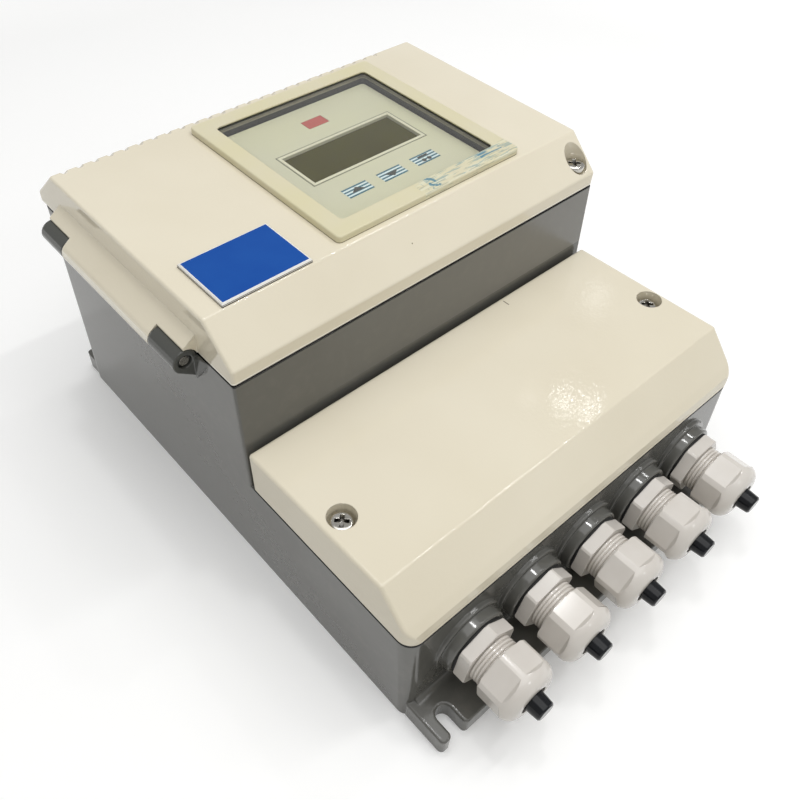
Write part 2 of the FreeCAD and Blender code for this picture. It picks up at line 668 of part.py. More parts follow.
def make_bezel():
    """Raised frame that holds the pane down on the lid."""
    frame = square_slab(BEZEL_SIZE, (LID_TOP_Z, BEZEL_TOP_Z), BEZEL_CORNER_RADIUS)
    frame = rounded(frame, BEZEL_EDGE_RADIUS, lambda edge: abs(middle_of(edge).z - BEZEL_TOP_Z) < 0.01)
    frame = frame.cut(square_slab(VIEW_SIZE, (LID_TOP_Z, BEZEL_TOP_Z), VIEW_CORNER_RADIUS))
    seat_z = (LID_TOP_Z, LID_TOP_Z + PANE_THICKNESS)
    frame = frame.cut(square_slab(PANE_SIZE + 2 * PANE_CLEARANCE, seat_z, VIEW_CORNER_RADIUS))
    for x, y in clamp_places():
        frame = frame.cut(post(x, y, seat_z, SMALL_HOLE_RADIUS))
    return frame


def make_pane():
    return square_slab(PANE_SIZE, (LID_TOP_Z, LID_TOP_Z + PANE_THICKNESS), VIEW_CORNER_RADIUS)


def make_window_liner():
    """Dark sleeve in the lid's aperture, with a clamping flange inside the lid."""
    inside = LID_TOP_Z - LID_WALL
    sleeve = square_slab(APERTURE_SIZE - PANE_CLEARANCE, (inside, LID_TOP_Z), APERTURE_CORNER_RADIUS)
    flange_z = (inside - LINER_FLANGE_THICKNESS, inside)
    liner = sleeve.fuse(square_slab(LINER_FLANGE_SIZE, flange_z, APERTURE_CORNER_RADIUS))
    liner = liner.cut(square_slab(VIEW_SIZE, (flange_z[0], LID_TOP_Z), VIEW_CORNER_RADIUS))
    for x, y in clamp_places():
        liner = liner.cut(post(x, y, flange_z, SMALL_HOLE_RADIUS))
    return liner.removeSplitter()


def make_clamp_screws():
    seat = LID_TOP_Z - LID_WALL - LINER_FLANGE_THICKNESS
    screws = []
    for x, y in clamp_places():
        head = post(x, y, (seat - SMALL_HEAD_HEIGHT, seat), CLAMP_HEAD_RADIUS)
        shank = post(x, y, (seat, LID_TOP_Z + PANE_THICKNESS - PANE_CLEARANCE), SMALL_SCREW_RADIUS)
        screws.append(head.fuse(shank).removeSplitter())
    return Part.makeCompound(screws)


def make_tag():
    top = LID_TOP_Z + TAG_THICKNESS
    tag = block(TAG_X, TAG_Y, (LID_TOP_Z, top))
    return tag.makeChamfer(TAG_CHAMFER, [edge for edge in tag.Edges if middle_of(edge).z > top - 0.01])


# Terminal cover

def cover_outline(inset):
    """Side view of the terminal cover as (y, z)."""
    return [
        (COVER_REAR_Y - inset, COVER_BOTTOM_Z),
        (COVER_REAR_TOP[0] - inset, COVER_REAR_TOP[1] - inset),
        (COVER_CREASE[0] + inset * 0.4, COVER_CREASE[1] - inset),
        (COVER_SHOULDER[0] + inset * 0.75, COVER_SHOULDER[1] - inset * 0.7),
        (FRONT_Y + COVER_BAND[0] + inset, COVER_BAND[1] - inset * 0.3),
        (FRONT_Y + inset, COVER_BOTTOM_Z),
    ]


def cover_block(inset):
    side = HALF_WIDTH - inset
    profile = prism_x(cover_outline(inset), (-side, side))
    plan = slab(
        (-side, side),
        (FRONT_Y + inset, STEP_Y),
        (COVER_BOTTOM_Z, COVER_CREASE[1] + 1),
        FRONT_CORNER_RADIUS - inset,
        STEP_CORNER_RADIUS,
    )
    return profile.common(plan)


def make_terminal_cover():
    outer = cover_block(0)
    outer = rounded(outer, COVER_EDGE_RADIUS, lambda edge: middle_of(edge).z > COVER_SHOULDER[1] + 0.2)
    shell = outer.cut(cover_block(COVER_WALL))
    for x, y in COVER_SCREWS:
        boss = post(x, y, (COVER_BOTTOM_Z, COVER_CREASE[1]), RECESS_RADIUS + RECESS_WALL)
        shell = shell.fuse(outer.common(boss))
        shell = shell.cut(post(x, y, (COVER_RECESS_FLOOR_Z, COVER_CREASE[1]), RECESS_RADIUS))
        hole = post(x, y, (COVER_BOTTOM_Z, COVER_RECESS_FLOOR_Z), SCREW_RADIUS + SCREW_CLEARANCE)
        shell = shell.cut(hole)
    return shell.cut(cover_seal((COVER_BOTTOM_Z, COVER_BOTTOM_Z + SEAL_DEPTH))).removeSplitter()


def cover_seal(z):
    return seal_ring((FRONT_Y, COVER_REAR_Y), z, FRONT_CORNER_RADIUS - SEAL_INSET, SEAL_CORNER_RADIUS)


def make_terminal_gasket():
    return cover_seal((TERMINAL_RIM_Z, COVER_BOTTOM_Z + SEAL_DEPTH))


def make_cover_screw(place):
    length = COVER_RECESS_FLOOR_Z - TERMINAL_RIM_Z + SCREW_GRIP
    return pan_screw(place[0], place[1], COVER_RECESS_FLOOR_Z, length)


def make_lid_screw(place):
    return pan_screw(place[0], place[1], LID_RECESS_FLOOR_Z, LID_RECESS_FLOOR_Z - RIM_Z + SCREW_GRIP)


# Cable glands

def gland_thread():
    """Outline of the neck as (radius, reach): a few open threads, then the covered end."""
    outline = [(GLAND_BORE_RADIUS, FLANGE_HEX_LENGTH)]
    reach = FLANGE_HEX_LENGTH
    while reach + THREAD_PITCH < NUT_START + THREAD_PITCH:
        outline.append((NECK_RADIUS - THREAD_DEPTH, reach))
        outline.append((NECK_RADIUS, reach + THREAD_FLANK))
        outline.append((NECK_RADIUS, reach + THREAD_PITCH - THREAD_FLANK))
        reach += THREAD_PITCH
    outline.append((NECK_RADIUS - THREAD_DEPTH, reach))
    outline.append((NECK_RADIUS - THREAD_DEPTH, FLANGE_HEX_LENGTH + NECK_LENGTH))
    outline.append((GLAND_BORE_RADIUS, FLANGE_HEX_LENGTH + NECK_LENGTH))
    return outline


def make_gland_body(x, turn):
    radius = HEX_ACROSS_FLATS / math.sqrt(3)
    envelope = turned(
        [
            (GLAND_BORE_RADIUS, 0),
            (radius - 2 * SEAT_CHAMFER, 0),
            (radius - SEAT_CHAMFER, SEAT_CHAMFER),
            (radius - SEAT_CHAMFER, FLANGE_HEX_LENGTH - HEX_CHAMFER),
            (radius - SEAT_CHAMFER - HEX_CHAMFER, FLANGE_HEX_LENGTH),
            (GLAND_BORE_RADIUS, FLANGE_HEX_LENGTH),
        ],
        x,
        GLAND_Z,
    )
    flange = envelope.common(hexagon(x, GLAND_Z, (0, FLANGE_HEX_LENGTH), turn))
    neck = turned(gland_thread(), x, GLAND_Z)
    stub_outline = [
        (GLAND_BORE_RADIUS, 0),
        (STUB_RADIUS, 0),
        (STUB_RADIUS, -STUB_LENGTH),
        (GLAND_BORE_RADIUS, -STUB_LENGTH),
    ]
    stub = turned(stub_outline, x, GLAND_Z)
    return flange.fuse(neck).fuse(stub).removeSplitter()


def nut_outline(x):
    """Half section of the nut's round outline with its domed end, as a face."""
    bore = NECK_RADIUS + NUT_CLEARANCE
    bend = NUT_LENGTH - NUT_HEX_LENGTH
    hex_end = NUT_START + NUT_HEX_LENGTH
    end = NUT_START + NUT_LENGTH
    lip_start = hex_end - NUT_LIP
    across = bend * math.sqrt(0.5)
    outline = [
        (bore, lip_start),
        (bore, NUT_START),
        (DOME_RADIUS - HEX_CHAMFER, NUT_START),
        (DOME_RADIUS, NUT_START + HEX_CHAMFER),
        (DOME_RADIUS, hex_end),
        (DOME_RADIUS - bend, end),
        (DOME_HOLE_RADIUS, end),
        (DOME_HOLE_RADIUS, lip_start),
    ]
    points = [vec(x + r, GLAND_FACE_Y - reach, GLAND_Z) for r, reach in outline]
    bulge = vec(x + DOME_RADIUS - bend + across, GLAND_FACE_Y - hex_end - across, GLAND_Z)
    edges = []
    for i, start in enumerate(points):
        stop = points[(i + 1) % len(points)]
        domed = outline[i] == (DOME_RADIUS, hex_end)
        edges.append(Part.Arc(start, bulge, stop).toShape() if domed else Part.makeLine(start, stop))
    return Part.Face(Part.Wire(edges))


def make_gland_nut(x, turn):
    """Hexagonal nut whose flats ramp out into a round collar and a domed end."""
    hex_end = NUT_START + NUT_HEX_LENGTH
    ramp_end = hex_end + NUT_RAMP
    flats = hexagon(x, GLAND_Z, (NUT_START, hex_end), turn)
    wires = [hex_wire(x, GLAND_Z, hex_end, turn), hex_wire(x, GLAND_Z, ramp_end, turn, 2 * DOME_RADIUS)]
    ramp = Part.makeLoft(wires, True, True)
    beyond = (GLAND_FACE_Y - NUT_START - NUT_LENGTH, GLAND_FACE_Y - ramp_end)
    collar = gland_axis_rod(x, 2 * DOME_RADIUS, beyond)
    grip = flats.fuse(ramp).fuse(collar)
    blank = nut_outline(x).revolve(vec(x, 0, GLAND_Z), UP_THE_DISPLAY, 360)
    return blank.common(grip).removeSplitter()


def make_gland_seal(x):
    """Rubber insert that closes round the plug."""
    inner = PLUG_RADIUS + SEAL_CLEARANCE
    body = GLAND_BORE_RADIUS - SEAL_CLEARANCE
    nose = DOME_HOLE_RADIUS - SEAL_CLEARANCE
    lip_start = NUT_START + NUT_HEX_LENGTH - NUT_LIP
    end = NUT_START + NUT_LENGTH - INSERT_SET_BACK
    outline = [
        (inner, FLANGE_HEX_LENGTH),
        (body, FLANGE_HEX_LENGTH),
        (body, lip_start - INSERT_SHOULDER),
        (nose, lip_start),
        (nose, end),
        (inner, end),
    ]
    return turned(outline, x, GLAND_Z)


def make_gland_plug(x):
    """Blanking plug in the gland, slightly tapered where it stands out."""
    tip = NUT_START + NUT_LENGTH + PLUG_OVERHANG
    collar = NUT_START + NUT_LENGTH - INSERT_SET_BACK
    outline = [
        (0, tip - PLUG_LENGTH),
        (PLUG_RADIUS, tip - PLUG_LENGTH),
        (PLUG_RADIUS, collar),
        (PLUG_RADIUS + PLUG_FLARE, collar),
        (PLUG_RADIUS, tip - PLUG_CHAMFER),
        (PLUG_RADIUS - PLUG_CHAMFER, tip),
        (0, tip),
    ]
    return turned(outline, x, GLAND_Z)


def make_gland_washer(x):
    """Flat rubber washer between the boss and the gland."""
    length = (GLAND_FACE_Y, GLAND_FACE_Y + WASHER_THICKNESS)
    hole = gland_axis_rod(x, STUB_RADIUS + SEAL_CLEARANCE, length)
    return gland_axis_rod(x, WASHER_RADIUS, length).cut(hole)


def make_lock_nut(x):
    wall = GLAND_FACE_Y - TERMINAL_INNER_FRONT_Y
    ring = hexagon(x, GLAND_Z, (wall - LOCK_NUT_LENGTH, wall), 0)
    length = (TERMINAL_INNER_FRONT_Y, TERMINAL_INNER_FRONT_Y + LOCK_NUT_LENGTH)
    return ring.cut(gland_axis_rod(x, STUB_RADIUS + SEAL_CLEARANCE, length))


# Display insert

def lcd_block(margin, z):
    return centred(DISPLAY_X, LCD_Y, LCD_VIEW[0] + 2 * margin, LCD_VIEW[1] + 2 * margin, z)


def led_opening(z):
    return centred(DISPLAY_X, LED_Y, LED_SIZE[0] + 2 * LED_CLEARANCE, LED_SIZE[1] + 2 * LED_CLEARANCE, z)


def make_display_plate():
    z = (PLATE_TOP_Z - PLATE_THICKNESS, PLATE_TOP_Z)
    plate = square_slab(PLATE_SIZE, z, PLATE_CORNER_RADIUS)
    raised = (PLATE_TOP_Z, PLATE_TOP_Z + LCD_FRAME_RISE)
    plate = plate.fuse(lcd_block(LCD_FRAME_WIDTH, raised))
    plate = plate.cut(lcd_block(0, (z[0], raised[1])))
    return plate.cut(led_opening(z)).removeSplitter()


def make_front_foil():
    """Printed foil on the plate, cut out round the display frame and the lamp."""
    z = (PLATE_TOP_Z, PLATE_TOP_Z + FOIL_THICKNESS)
    foil = square_slab(PLATE_SIZE - 2 * FOIL_MARGIN, z, PLATE_CORNER_RADIUS)
    return foil.cut(lcd_block(LCD_FRAME_WIDTH + LED_CLEARANCE / 2, z)).cut(led_opening(z))


def make_lcd_module():
    base = DISPLAY_BOARD_Z + BOARD_THICKNESS
    under = PLATE_TOP_Z - PLATE_THICKNESS
    carrier = centred(DISPLAY_X, LCD_Y, LCD_VIEW[0] + 9, LCD_VIEW[1] + 12, (base + 3, base + 4.6))
    frame = centred(DISPLAY_X, LCD_Y, LCD_VIEW[0] + 6, LCD_VIEW[1] + 4, (base + 4.6, under))
    glass = lcd_block(-LED_CLEARANCE, (under, PLATE_TOP_Z - LCD_SINK))
    legs = centred(DISPLAY_X, LCD_Y + LCD_VIEW[1] / 2 + 4, 40, 2.5, (base, base + 3))
    return carrier.fuse(frame).fuse(glass).fuse(legs).removeSplitter()


def make_led():
    base = DISPLAY_BOARD_Z + BOARD_THICKNESS
    lens = centred(DISPLAY_X, LED_Y, LED_SIZE[0], LED_SIZE[1], (base + 1, PLATE_TOP_Z + FOIL_THICKNESS))
    return lens.fuse(centred(DISPLAY_X, LED_Y, 6, 3, (base, base + 1))).removeSplitter()


def make_display_board():
    z = (DISPLAY_BOARD_Z, DISPLAY_BOARD_Z + BOARD_THICKNESS)
    board = centred(WINDOW_X, WINDOW_Y, CARRIER_SIZE - 6, CARRIER_SIZE - 6, z)
    chip = centred(WINDOW_X - 18, WINDOW_Y - 22, 12, 8, (z[0] - 2, z[0]))
    socket = centred(WINDOW_X + 10, WINDOW_Y - 24, 26, 6, (z[0] - 5, z[0]))
    return board.fuse(chip).fuse(socket)


def make_display_carrier():
    """Moulded frame under the plate, with a ledge for the display board."""
    half = CARRIER_SIZE / 2
    x = (WINDOW_X - half, WINDOW_X + half)
    y = (WINDOW_Y - half, WINDOW_Y + half)
    frame = slab(x, y, CARRIER_Z, 2.0)
    opening = CARRIER_SIZE - 5.6
    frame = frame.cut(centred(WINDOW_X, WINDOW_Y, opening, opening, (DISPLAY_BOARD_Z, CARRIER_Z[1])))
    ledge = CARRIER_SIZE - 10
    return frame.cut(centred(WINDOW_X, WINDOW_Y, ledge, ledge, CARRIER_Z))


def make_chassis():
    """Folded sheet: a base on the housing's pillars and two upright cheeks."""
    base_z = (CHASSIS_Z, CHASSIS_Z + CHASSIS_THICKNESS)
    chassis = slab(CHASSIS_X, CHASSIS_Y, base_z, CHASSIS_CORNER_RADIUS)
    for side in (-1, 1):
        inner = WINDOW_X + side * CHEEK_SPACING / 2
        outer = inner - side * CHASSIS_THICKNESS
        x = (min(inner, outer), max(inner, outer))
        chassis = chassis.fuse(block(x, CHEEK_Y, (base_z[1], CARRIER_Z[0])))
        shoulder = inner - side * EAR_WIDTH
        ear = (min(inner, shoulder), max(inner, shoulder))
        ear_z = (CARRIER_Z[0] - CHASSIS_THICKNESS, CARRIER_Z[0])
        chassis = chassis.fuse(block(ear, CHEEK_Y, ear_z))
        chassis = chassis.cut(block(x, CHEEK_WINDOW_Y, CHEEK_WINDOW_Z))
    for px, py in CHASSIS_FIXINGS:
        chassis = chassis.cut(post(px, py, base_z, SMALL_HOLE_RADIUS))
    return chassis.removeSplitter()


def make_chassis_screws():
    return small_screws(CHASSIS_FIXINGS, CHASSIS_Z + CHASSIS_THICKNESS, CHASSIS_SCREW_LENGTH)


def spacer_places():
    reach_x, reach_y = SPACER_REACH
    return [(WINDOW_X + sx * reach_x, WINDOW_Y + sy * reach_y) for sx in (-1, 1) for sy in (-1, 1)]


def make_spacers():
    base = CHASSIS_Z + CHASSIS_THICKNESS
    return Part.makeCompound([post(x, y, (base, MAIN_BOARD_Z), SPACER_RADIUS) for x, y in spacer_places()])


def make_main_board():
    """Measuring board with its larger components."""
    z = (MAIN_BOARD_Z, MAIN_BOARD_Z + BOARD_THICKNESS)
    board = centred(WINDOW_X, WINDOW_Y, MAIN_BOARD_SIZE[0], MAIN_BOARD_SIZE[1], z)
    for x, y, size_x, size_y, height in MAIN_BOARD_BLOCKS:
        board = board.fuse(centred(WINDOW_X + x, WINDOW_Y + y, size_x, size_y, (z[1], z[1] + height)))
    for x, y in MAIN_BOARD_CANS:
        board = board.fuse(post(WINDOW_X + x, WINDOW_Y + y, (z[1], z[1] + CAN_HEIGHT), CAN_RADIUS))
    return board.removeSplitter()


def make_power_board():
    """Upright supply board beside the left cheek, on a foot that stands on the chassis."""
    base = CHASSIS_Z + CHASSIS_THICKNESS
    x = (POWER_BOARD_X, POWER_BOARD_X + BOARD_THICKNESS)
    board = block(x, POWER_BOARD_Y, (base, POWER_BOARD_TOP_Z))
    foot = block((x[0], x[1] + POWER_FOOT_REACH), POWER_FOOT_Y, (base, base + POWER_FOOT_THICKNESS))
    fuse_holder = block((x[1], x[1] + FUSE_HOLDER_REACH), FUSE_HOLDER_Y, FUSE_HOLDER_Z)
    can_start = vec(x[1], CAPACITOR_PLACE[0], CAPACITOR_PLACE[1])
    capacitor = Part.makeCylinder(CAPACITOR_RADIUS, CAPACITOR_LENGTH, can_start, vec(1, 0, 0))
    return board.fuse(foot).fuse(fuse_holder).fuse(capacitor).removeSplitter()


def make_transformer():
    """Iron core with its winding, standing on the supply board's foot."""
    base = CHASSIS_Z + CHASSIS_THICKNESS + POWER_FOOT_THICKNESS
    width, length, height = TRANSFORMER_SIZE
    x = POWER_BOARD_X + BOARD_THICKNESS + width / 2
    core = centred(x, TRANSFORMER_Y, width, length, (base, base + height))
    middle = base + height / 2
    winding_z = (middle - WINDING_SIZE[2] / 2, middle + WINDING_SIZE[2] / 2)
    winding = centred(x, TRANSFORMER_Y, WINDING_SIZE[0], WINDING_SIZE[1], winding_z)
    return core.fuse(winding).removeSplitter()


# Terminal chamber

def terminal_fixings():
    y = sum(TERMINAL_BOARD_Y) / 2
    reach = TERMINAL_BOARD_X - TERMINAL_FIXING_INSET
    return [(-reach, y), (reach, y)]


def make_terminal_board():
    z = (TERMINAL_BOARD_Z, TERMINAL_BOARD_Z + BOARD_THICKNESS)
    board = block((-TERMINAL_BOARD_X, TERMINAL_BOARD_X), TERMINAL_BOARD_Y, z)
    for x, y in terminal_fixings():
        board = board.cut(post(x, y, z, SMALL_HOLE_RADIUS))
    return board


def make_terminal_board_screws():
    return small_screws(terminal_fixings(), TERMINAL_BOARD_Z + BOARD_THICKNESS, TERMINAL_SCREW_LENGTH)


def make_terminal_block(centre_x):
    """Row of screw terminals: wire funnels at the front, screw wells on top."""
    base = TERMINAL_BOARD_Z + BOARD_THICKNESS
    width = TERMINAL_POLES * TERMINAL_PITCH
    low, high, peak = TERMINAL_RISE
    outline = [
        (TERMINAL_FRONT_Y, base),
        (TERMINAL_REAR_Y, base),
        (TERMINAL_REAR_Y, base + high),
        (TERMINAL_REAR_Y - TERMINAL_CROWN, base + peak),
        (TERMINAL_FRONT_Y, base + low),
    ]
    strip = prism_x(outline, (centre_x - width / 2, centre_x + width / 2))
    for i in range(TERMINAL_POLES):
        x = centre_x - width / 2 + (i + 0.5) * TERMINAL_PITCH
        funnel_z = (base + FUNNEL_Z[0], base + FUNNEL_Z[1])
        strip = strip.cut(centred(x, TERMINAL_FRONT_Y, FUNNEL_SIZE[0], FUNNEL_SIZE[1], funnel_z))
        well_y = TERMINAL_REAR_Y - TERMINAL_CROWN / 2
        strip = strip.cut(centred(x, well_y, WELL_SIZE, WELL_SIZE, (base + low, base + peak)))
    return strip


def make_feed_connector():
    """Plug-through connector that joins the terminal board to the electronics."""
    half = FEED_X - FEED_CLEARANCE
    z = (FEED_Z[0] + FEED_CLEARANCE, FEED_Z[1] - FEED_CLEARANCE)
    y = (TERMINAL_INNER_REAR_Y - FEED_STAND_FRONT, STEP_Y + WALL + FEED_STAND_REAR)
    body = block((-half, half), y, z)
    mouth_half = half - FEED_MOUTH_WALL
    mouth_z = (z[0] + FEED_MOUTH_WALL, z[1] - FEED_MOUTH_WALL)
    return body.cut(block((-mouth_half, mouth_half), (y[0], y[0] + FEED_MOUTH_DEPTH), mouth_z))


def make_earth_screw():
    head = post(EARTH_X, EARTH_Y, (FLOOR + EARTH_STEP, FLOOR + 2 * EARTH_STEP), EARTH_HEAD_RADIUS)
    clamp = centred(EARTH_X, EARTH_Y, EARTH_CLAMP_SIZE, EARTH_CLAMP_SIZE, (FLOOR, FLOOR + EARTH_STEP))
    shank = post(EARTH_X, EARTH_Y, (FLOOR - EARTH_STEP, FLOOR), SCREW_RADIUS)
    return head.fuse(clamp).fuse(shank).removeSplitter()


def build_nodes():
    nodes = {
        "housing": make_housing(),
        "lid": make_lid(),
        "lid_gasket": make_lid_gasket(),
        "hinge_pin_front": make_hinge_pin(HINGE_FRONT_Y, 1),
        "hinge_pin_rear": make_hinge_pin(HINGE_REAR_Y, -1),
        "lid_screw_front": make_lid_screw(LID_SCREWS[0]),
        "lid_screw_rear": make_lid_screw(LID_SCREWS[1]),
        "window_bezel": make_bezel(),
        "window_pane": make_pane(),
        "window_liner": make_window_liner(),
        "liner_screws": make_clamp_screws(),
        "tag_plate": make_tag(),
        "terminal_cover": make_terminal_cover(),
        "terminal_gasket": make_terminal_gasket(),
        "cover_screw_left": make_cover_screw(COVER_SCREWS[0]),
        "cover_screw_right": make_cover_screw(COVER_SCREWS[1]),
        "display_plate": make_display_plate(),
        "front_foil": make_front_foil(),
        "lcd_module": make_lcd_module(),
        "status_led": make_led(),
        "display_board": make_display_board(),
        "display_carrier": make_display_carrier(),
        "chassis": make_chassis(),
        "chassis_screws": make_chassis_screws(),
        "board_spacers": make_spacers(),
        "main_board": make_main_board(),
        "power_board": make_power_board(),
        "transformer": make_transformer(),
        "terminal_board": make_terminal_board(),
        "terminal_board_screws": make_terminal_board_screws(),
        "feed_connector": make_feed_connector(),
        "earth_screw": make_earth_screw(),
    }
    for name, x in TERMINAL_BLOCK_XS.items():
        nodes["terminal_block_" + name] = make_terminal_block(x)
    for i, x in enumerate(GLAND_XS):
        number = str(i + 1)
        nodes["gland_body_" + number] = make_gland_body(x, BODY_TURNS[i])
        nodes["gland_nut_" + number] = make_gland_nut(x, NUT_TURNS[i])
        nodes["gland_plug_" + number] = make_gland_plug(x)
    nodes["gland_seals"] = Part.makeCompound([make_gland_seal(x) for x in GLAND_XS])
    nodes["gland_washers"] = Part.makeCompound([make_gland_washer(x) for x in GLAND_XS])
    nodes["gland_lock_nuts"] = Part.makeCompound([make_lock_nut(x) for x in GLAND_XS])
    return nodes


def main():
    os.makedirs("parts", exist_ok=True)
    for name, shape in build_nodes().items():
        shape.exportStep("parts/" + name + ".step")


main()
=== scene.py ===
"""Looks of a wall-mounted flow meter evaluation unit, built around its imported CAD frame."""

import math

import bpy
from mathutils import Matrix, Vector


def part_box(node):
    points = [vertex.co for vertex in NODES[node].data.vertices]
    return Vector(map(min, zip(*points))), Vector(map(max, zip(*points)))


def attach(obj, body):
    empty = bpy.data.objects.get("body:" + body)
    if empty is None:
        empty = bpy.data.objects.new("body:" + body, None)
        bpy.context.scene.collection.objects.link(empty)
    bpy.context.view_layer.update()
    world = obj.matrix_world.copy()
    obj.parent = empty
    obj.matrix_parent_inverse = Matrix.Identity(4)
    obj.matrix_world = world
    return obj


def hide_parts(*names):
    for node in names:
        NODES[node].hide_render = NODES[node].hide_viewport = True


bl_info = {
    "name": "Flow meter evaluation unit",
    "version": (1, 0, 0),
    "blender": (4, 5, 0),
    "location": "View3D > Sidebar > Flow unit",
    "description": "Finishes, key legends and studio for a cast field housing with a display lid",
    "category": "Object",
}

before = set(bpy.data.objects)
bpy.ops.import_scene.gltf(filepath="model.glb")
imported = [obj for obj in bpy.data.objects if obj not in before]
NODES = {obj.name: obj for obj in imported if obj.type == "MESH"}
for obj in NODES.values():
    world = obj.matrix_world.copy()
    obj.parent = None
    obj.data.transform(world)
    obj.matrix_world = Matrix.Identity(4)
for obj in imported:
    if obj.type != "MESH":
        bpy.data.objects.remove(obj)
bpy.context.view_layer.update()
MM = 0.001
# Joints under the lid and under the terminal cover: housing's rim and cover's edge in millimetres
LID_JOINT = (106.4, 107.4)
COVER_JOINT = (52.0, 53.0)
# Rim of the display on the front foil: lowest and highest corner in millimetres
DISPLAY_RIM = ((-17.35, 32.05), (45.95, 57.75))
# Camera's place in metres, its turn in radians and its shift in shares of the picture
CAMERA_PLACE = (-0.195326, -0.196283, 0.317257)
CAMERA_TURN = (0.73261001, -0.0307305, -0.72134428)
CAMERA_SHIFT = (0.0365, -0.0024)
# Point at which the round lamps aim
LAMP_AIM = Vector((0, 0, 0.05))


# Small tools


def linear(code):
    """Linear RGBA of an sRGB hex value."""
    values = []
    for i in (1, 3, 5):
        c = int(code[i : i + 2], 16) / 255
        values.append(c / 12.92 if c <= 0.04045 else ((c + 0.055) / 1.055) ** 2.4)
    return (*values, 1.0)


def per_mm(size):
    """Texture scale whose features are this many millimetres across."""
    return 1 / (size * MM)


def box_mm(name):
    """Lowest and highest corners of a CAD node in millimetres."""
    return [[value / MM for value in corner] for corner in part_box(name)]


def node(tree, kind, links=None, **settings):
    """Add a node with its settings; links maps inputs to values or to sockets."""
    made = tree.nodes.new(kind)
    for key, value in settings.items():
        setattr(made, key, value)
    for key, value in (links or {}).items():
        if isinstance(value, bpy.types.NodeSocket):
            tree.links.new(value, made.inputs[key])
        else:
            made.inputs[key].default_value = value
    return made


def new_material(name):
    """Empty node material with its Object coordinates."""
    material = bpy.data.materials.new(name)
    material.use_nodes = True
    tree = material.node_tree
    tree.nodes.clear()
    return material, tree, node(tree, "ShaderNodeTexCoord").outputs["Object"]


def close_material(tree, sockets):
    """End a material in one shader with these sockets."""
    shader = node(tree, "ShaderNodeBsdfPrincipled", sockets)
    node(tree, "ShaderNodeOutputMaterial", {"Surface": shader.outputs["BSDF"]})


def inside(tree, place, low, high):
    """Factor that is 1 in a box given in millimetres; None leaves an axis free."""
    axes = node(tree, "ShaderNodeSeparateXYZ", {"Vector": place}).outputs
    factor = None
    for axis, start, end in zip("XYZ", low, high):
        if start is None:
            continue
        reach = {0: axes[axis], 1: (start + end) / 2 * MM, 2: (end - start) / 2 * MM}
        near = node(tree, "ShaderNodeMath", reach, operation="COMPARE").outputs[0]
        if factor is None:
            factor = near
        else:
            both = {0: factor, 1: near}
            factor = node(tree, "ShaderNodeMath", both, operation="MULTIPLY").outputs[0]
    return factor


def speckled(tree, place, size, edges, strength, where=None):
    """Factor of noise patches of a size in millimetres, between two levels, kept to a region."""
    spots = {"Vector": place, "Scale": per_mm(size), "Detail": 3.0}
    level = node(tree, "ShaderNodeTexNoise", spots).outputs["Fac"]
    steps = {"Value": level, "From Min": edges[0], "From Max": edges[1], "To Max": strength}
    patches = node(tree, "ShaderNodeMapRange", steps).outputs["Result"]
    if where is None:
        return patches
    return node(tree, "ShaderNodeMath", {0: patches, 1: where}, operation="MULTIPLY").outputs[0]


def coats(tree, ground, *layers):
    """Colour of a ground with layers of (factor, colour) over it."""
    for factor, tint in layers:
        links = {"Factor": factor, "A": ground, "B": tint}
        ground = node(tree, "ShaderNodeMix", links, data_type="RGBA").outputs["Result"]
    return ground


def grain(tree, place, size, depth, edge=0.3):
    """Normal of a skin with grains of a width and depth, over edges of a radius, in millimetres."""
    bumps = {"Vector": place, "Scale": per_mm(size), "Detail": 2.0}
    height = node(tree, "ShaderNodeTexNoise", bumps).outputs["Fac"]
    rounded = node(tree, "ShaderNodeBevel", {"Radius": edge * MM}, samples=6).outputs["Normal"]
    relief = {"Height": height, "Strength": 1.0, "Distance": depth * MM, "Normal": rounded}
    return node(tree, "ShaderNodeBump", relief).outputs["Normal"]


def coat_nodes(material, *names):
    """Give CAD nodes a finish in their own material slot."""
    for name in names:
        NODES[name].material_slots[0].material = material


def numbered(stem):
    """Names of the CAD nodes that start with a stem."""
    return [name for name in NODES if name.startswith(stem)]


# Properties


def colour(name, description, code):
    """Property of a colour given as an sRGB hex value."""
    return bpy.props.FloatVectorProperty(
        name=name,
        description=description,
        subtype="COLOR",
        size=4,
        min=0,
        max=1,
        default=linear(code),
    )


def length(name, description, millimetres):
    """Property of a length given in millimetres."""
    return bpy.props.FloatProperty(
        name=name,
        description=description,
        subtype="DISTANCE",
        unit="LENGTH",
        default=millimetres * MM,
    )


def power(name, description, watts):
    """Property of a lamp's power."""
    return bpy.props.FloatProperty(
        name=name, description=description, subtype="POWER", unit="POWER", default=watts
    )


def number(name, description, value, subtype="FACTOR", unit="NONE"):
    """Property of a number, a plain factor if nothing else is said."""
    return bpy.props.FloatProperty(
        name=name, description=description, subtype=subtype, unit=unit, default=value
    )


class UnitColours(bpy.types.PropertyGroup):
    """Colours of the unit's finishes."""

    cream: colour("Cream coat", "Paint of the lid and the terminal cover", "#E7DFCA")
    enamel: colour("Grey enamel", "Paint of the housing", "#5A5954")
    bezel: colour("Window frame", "Moulded frame round the window", "#D8D1AD")
    plate: colour("Front plate", "Printed foil round the display", "#DAD7B8")
    display: colour("Display", "Switched-off liquid crystal", "#413C00")
    lamp: colour("Lamp window", "Red window over the display", "#C9625A")
    ground: colour("Key ground", "Printed ground of the keys", "#E2F2F6")
    stripe: colour("Key stripes", "Printed stripes of the keys", "#1E6074")
    sign: colour("Key signs", "Printed signs of the keys", "#2B2D28")
    tag: colour("Tag", "Face of the laminated tag", "#00499E")
    polyamide: colour("Cable glands", "Moulded glands", "#DAD5CE")
    plug: colour("Blanking plugs", "Plugs in the glands", "#0C0D10")


